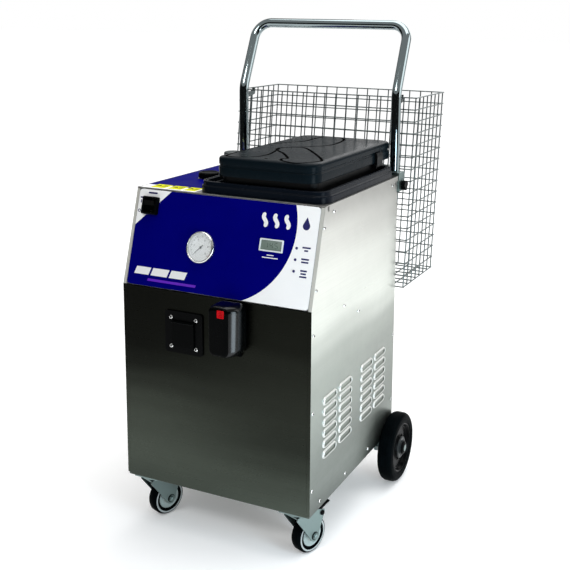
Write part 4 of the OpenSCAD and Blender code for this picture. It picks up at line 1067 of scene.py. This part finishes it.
def inlet():
    x, z = 44.5, 465.0
    w, h, depth, wall, button_up = 62.0, 102.0, 48.0, 4.0, 36.0
    place = frame_of(P(x, 0, z), (0, -1, 0))

    curve, x0, d0 = [(0.0, depth)], 0.0, depth
    for first, last, length in COVER_CURVE:
        for k in range(COVER_STEPS):
            turn = math.radians(first + (last - first) * (k + 0.5) / COVER_STEPS)
            x0 += math.cos(turn) * length / COVER_STEPS
            d0 -= math.sin(turn) * length / COVER_STEPS
            curve.append((x0, d0))
    curve.append((x0, 0.0))

    def ring(d, thick):
        """Outline of the cover at depth d, drawn in by a wall's thickness and narrowing downwards."""
        for (x1, d1), (x2, d2) in zip(curve, curve[1:]):
            if d2 <= d <= d1:
                near = x0 - x1 - (x2 - x1) * (d1 - d) / (d1 - d2) + thick
                break
        t = max(0.0, (d - d0) / (depth - d0))
        bend = 1 - math.sqrt(max(0.0, 1 - t * t))
        far = COVER_BOW[0] * bend + thick
        rise = COVER_BOW[1] * bend ** 2 + thick
        shape = rounded(w - near - far, h - 2 * rise, max(16 - 9 * bend - thick, 7), 12)
        return [mm(place, a * (1 - 0.06 * max(0.0, -2 * b / h) ** 1.6) + (far - near) / 2, b, d)
                for a, b in shape]

    bm = bmesh.new()
    outer = [ring(6.4, 0.6), ring(8.0, 0.0)] + [ring(d, 0.0) for _, d in reversed(curve[:-1])]
    inner = [ring(d, wall) for d in (6.4, 14, 18, 22, 26, 30, 34, 37, 40)]
    a = loft(bm, outer, False, True, [0] * (len(outer) - 1 - COVER_STEPS) + [1] * COVER_STEPS)
    b = loft(bm, inner, False, True)
    ring_faces(bm, a[0], b[0])
    cover = piece("inlet_cover_shell", bm, ["shell", "gloss"], "inlet_cover", 30, ["inlet_cover"])
    button = frame_of(P(x, 0, z + button_up), (0, -1, 0))
    bm = bmesh.new()
    rr_block(bm, button, [(16.2, 16.2, 2, 5), (16.2, 16.2, 2, 60)], 5)
    carve(cover, bm, ["shell"])
    bm = bmesh.new()
    lathe(bm, frame_of(P(x - 13.6, -6.6, z - 54.4), (1, 0, 0)),
          [(1.5, 0), (2.4, 0), (2.6, 0.3), (2.6, 26.9), (2.4, 27.2), (1.5, 27.2)], 24, closed=True)
    rr_block(bm, frame_of(P(x, -8.2, z - 52.1), (0, -1, 0)), [(27, 4.2, 0.5, -1.2), (27, 4.2, 0.5, 1.2)], 3)
    piece("inlet_hinge_barrel", bm, "gloss", "inlet_cover", 35)
    bm = bmesh.new()
    steps = ((19.2, 2, -10.1), (19.2, 2, -8.6), (15.6, 2, -8.5), (15.6, 2, -0.9), (15.0, 1.8, -0.3),
             (14.2, 1.5, 0), (11, 2, 0), (9.5, 2, -0.8), (3, 1, -1.2))
    rr_block(bm, button, [(size, size, r, depth + h) for size, r, h in steps], 6)
    for i in (-1, 0, 1):
        rr_block(bm, button @ Matrix.Translation((0, i * 0.0032, 0)),
                 [(8.4, 1.1, 0.4, depth - 1.5), (8.2, 0.9, 0.4, depth - 0.35)], 3)
    piece("release_button_cap", bm, "red", "release_button", 35, ["release_button"])


inlet()


# ---------------------------------------------------------------- wheels
def rear_wheels():
    for side, name in SIDES:
        lo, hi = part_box("rear_tyre_" + name)
        r, w = (hi[2] - lo[2]) * 500, 36.0
        inner = abs((lo if side > 0 else hi)[0]) * 1000 - 0.5
        centre = Vector((side * inner / 1000, (lo[1] + hi[1]) / 2, (lo[2] + hi[2]) / 2))
        place = frame_of(centre, (side, 0, 0))
        half = [(r - 22, 2.2), (r - 20.5, 1.0), (r - 14, 0.5), (r - 12.6, 1.1), (r - 11.2, 0.6), (r - 6, 1.7),
                (r - 1.9, 5.2), (r - 0.9, 8.2), (r - 1.0, 8.9), (r - 0.15, 9.6), (r, w / 2)]
        radii = [0, 1, 2, 0.6, 0.6, 4, 4, 0.3, 0.3, 0.5]
        profile = soft(half + [(a, w - b) for a, b in reversed(half[:-1])], radii + [0] + radii[::-1], 4)
        bm = bmesh.new()
        lathe(bm, place, profile, 128, closed=True)
        piece("tyre_" + name, bm, "tyre", "rear_wheel_" + name, 40, ["rear_tyre_" + name])
        bm = bmesh.new()
        hub = [(10.06, -0.5), (20, -0.5), (22, w / 2 - 4), (r - 31, w / 2 - 4), (r - 28, 3), (r - 22.1, 3),
               (r - 22.1, w - 2.6), (r - 24.2, w - 2.2), (r - 26.4, w - 3.4), (r - 29, w - 9),
               (r - 31, w - 10.5), (30, w - 10.5), (27, w - 9), (24.6, w - 4.6), (22.4, w - 3.0),
               (18.5, w - 3.0), (17.4, w - 4.0), (15.6, w - 4.0), (15.0, w - 0.3), (10.06, w - 0.3)]
        face = soft(hub, 1.6, 3)
        # The ring round the centre takes the lighter, painted-sheen grey.
        tone = [1 if h > w - 5.2 and 10.2 < a < 25 else 0 for a, h in face]
        lathe(bm, place, face, 128, tone, closed=True)
        piece("hub_" + name, bm, ["hub", "hub_ring_sheen"], "rear_wheel_" + name, 40, ["rear_hub_" + name])


# The castors stand turned, their forks trailing back from the pivots.
CASTOR_TURN = math.radians(19)
CASTOR_AXIS = Vector((math.cos(CASTOR_TURN), -math.sin(CASTOR_TURN), 0))
CASTOR_TRAIL = Vector((math.sin(CASTOR_TURN), math.cos(CASTOR_TURN), 0))
CASTOR_AXLE, CASTOR_RADIUS, CASTOR_WIDTH = 30.0, 37.5, 26.0


def castor_point(side, trail, height):
    """A point in a castor's middle plane, this far behind its pivot."""
    return P(side * 169.0, 32.0, height) + CASTOR_TRAIL * (trail / 1000)


def castors():
    w = CASTOR_WIDTH
    half = [(4.06, -2), (8.6, -2), (9.4, -1.2), (10.5, 2.6), (13, 3.2), (20.8, 3.2), (22.2, 2.0), (23.4, 2.0),
            (24, 3.4), (29, 3.4), (30.0, 0.8), (30.6, 0.2), (32.8, 0.2), (33.4, 0.8), (35.6, 1.6),
            (CASTOR_RADIUS, 5.4), (CASTOR_RADIUS, w / 2)]
    tones = [2] * 8 + [0, 0, 1, 1, 1, 0, 0, 0]
    profile = half + [(a, w - b) for a, b in reversed(half[:-1])]
    for side, name in SIDES:
        middle = castor_point(side, CASTOR_AXLE, CASTOR_RADIUS)
        bm = bmesh.new()
        lathe(bm, frame_of(middle - CASTOR_AXIS * (w / 2000), CASTOR_AXIS), profile, 96,
              tones + tones[::-1] + [2], closed=True)
        piece("castor_wheel_set_" + name, bm, ["tyre", "ring", "hub_pale"], "castor_wheel_" + name, 50,
              ["castor_wheel_" + name])


def castor_fittings():
    """Axle nuts with domed caps, and a ribbed pedal on each brake."""
    washer = soft([(4.2, 0), (8.4, 0), (8.4, 0.9), (7.2, 1.2)], 0.3, 2)
    dome = soft([(5.4, 1.0), (5.4, 2.2), (4.8, 4.4), (2.8, 5.8), (0, 6.2)], [0, 0.6, 1.5, 2, 0], 4)
    shoe = [(-4.5, -3), (3, -4.5), (8, 0), (21, 5.2), (31, 8.2), (31.6, 10.2), (30.4, 11.4), (18, 8.6),
            (5, 6), (-4, 4)]
    rib = ((16, 7.6), (17.6, 8.0), (17.4, 9.2), (16.2, 8.9))
    cap = soft([(2.9, 0), (5.2, 0), (5.2, 2.0), (2.6, 3.0), (0, 3.0)], [0, 0.3, 1.0, 0.6, 0], 3)
    for side, name in SIDES:
        axle = castor_point(side, CASTOR_AXLE, CASTOR_RADIUS)
        bm = bmesh.new()
        for way in (1, -1):
            place = frame_of(axle + CASTOR_AXIS * (way * 0.0183), CASTOR_AXIS * way)
            lathe(bm, place, washer, 40, [1] * len(washer))
            lathe(bm, place, dome, 40)
        piece("castor_nuts_" + name, bm, ["zinc", "black"], "castor_" + name, 40)
        pivot = castor_point(side, 50.0, 80.0)
        place = frame_of(pivot, CASTOR_AXIS)
        bm = bmesh.new()
        plate(bm, shoe, place, -9.5, 9.5, 0.8)
        for k in range(3):
            plate(bm, [(a + 3.6 * k, b + 0.95 * k) for a, b in rib], place, -8.5, 8.5, 0.3)
        lathe(bm, place, [(0, -21.6), (2.9, -21.6), (2.9, 21.6), (0, 21.6)], 24)
        for way in (1, -1):
            lathe(bm, frame_of(pivot + CASTOR_AXIS * (way * 0.0186), CASTOR_AXIS * way), cap, 24)
        piece("brake_pedal_" + name, bm, "black", "brake_" + name, 35, ["castor_brake_" + name])


def axle_ends():
    """Push-on rings round the bright ends of the rear axle."""
    lo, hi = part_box("rear_axle")
    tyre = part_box("rear_tyre_right")
    y, z = (tyre[0][1] + tyre[1][1]) / 2, (tyre[0][2] + tyre[1][2]) / 2
    ring = soft([(14.7, 0.1), (14.7, 1.8), (11.3, 4.4), (8.3, 5.45), (7.5, 5.6), (7.3, 4.4)],
                [0, 0.6, 1.2, 0.4, 0.2, 0], 3)
    bm = bmesh.new()
    for side, end in ((1, hi[0]), (-1, lo[0])):
        lathe(bm, frame_of(Vector((end - side * 0.006, y, z)), (side, 0, 0)), ring, 64)
    piece("axle_rings", bm, "black", "cabinet", 35)


def islands(mesh):
    """The points of each separate body of a mesh."""
    links = {}
    for edge in mesh.edges:
        a, b = edge.vertices
        links.setdefault(a, []).append(b)
        links.setdefault(b, []).append(a)
    seen = set()
    for start in sorted(links):
        if start in seen:
            continue
        stack, group = [start], []
        seen.add(start)
        while stack:
            v = stack.pop()
            group.append(mesh.vertices[v].co)
            fresh = [n for n in links[v] if n not in seen]
            seen.update(fresh)
            stack += fresh
        yield group


def screw_sockets():
    """Painted shade: flat dark hexagons on the heads of the screws on the sides and the front, standing in
    for their shadowed sockets.
    """
    bm = bmesh.new()
    lo_all, hi_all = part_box("panel_screws")
    for group in islands(NODES["panel_screws"].data):
        lo = Vector([min(c[i] for c in group) for i in range(3)])
        hi = Vector([max(c[i] for c in group) for i in range(3)])
        mid = (lo + hi) / 2
        if hi_all[0] - hi.x < 0.003:
            end, axis = (hi.x, mid.y, mid.z), (1, 0, 0)
        elif lo.x - lo_all[0] < 0.003:
            end, axis = (lo.x, mid.y, mid.z), (-1, 0, 0)
        elif lo.y - lo_all[1] < 0.006:
            end, axis = (mid.x, lo.y, mid.z), (0, -1, 0)
        else:
            continue
        plate(bm, arc((0, 0), 2.0, 0, 300, 5), frame_of(end, axis), -0.3, 0.02)
    piece("screw_sockets", bm, "groove", "cabinet", 30)


rear_wheels()
castors()
castor_fittings()
axle_ends()
screw_sockets()


# ---------------------------------------------------------------- floor and dark card
def stage_piece(name, outline, low, high, material):
    """A prism of the studio, which isn't part of the object."""
    bm = bmesh.new()
    loft(bm, [[Vector((x, y, z)) for x, y in outline] for z in (low, high)])
    mesh = finish_mesh(name, bm)
    mesh.materials.append(material)
    obj = add_object(name, mesh)
    return obj


def studio():
    size = 40.0
    p = Paint("floor_paper")
    reach = p.node("ShaderNodeVectorMath", {0: p.coords}, operation="LENGTH").outputs["Value"]
    far = p.remap(reach, 0.8, 4.5, 0.20, 0.62, interpolation_type="SMOOTHSTEP")
    paper = p.set(color=p.mix(p.noise(8.0, 3.0), (0.88, 0.88, 0.88), (0.9, 0.9, 0.9)), rough=0.9,
                  emission=(1, 1, 1), glow=far, spec=0.1)
    stage_piece("floor", ((-size, -size), (size, -size), (size, size), (-size, size)), -0.02, 0.0, paper)

    p = Paint("dark_cloth")
    cloth = p.set(color=p.mix(p.noise(200.0, 2.0), (0.01, 0.01, 0.01), (0.02, 0.02, 0.02)), rough=0.95,
                  spec=0.05)
    radius, thick = 3.6, 0.036
    outline = arc((0, 0), radius, -202, 2, 34) + arc((0, 0), radius + thick, 2, -202, 34)
    stage_piece("dark_card", outline, 0.01, 2.1, cloth).visible_camera = False


studio()
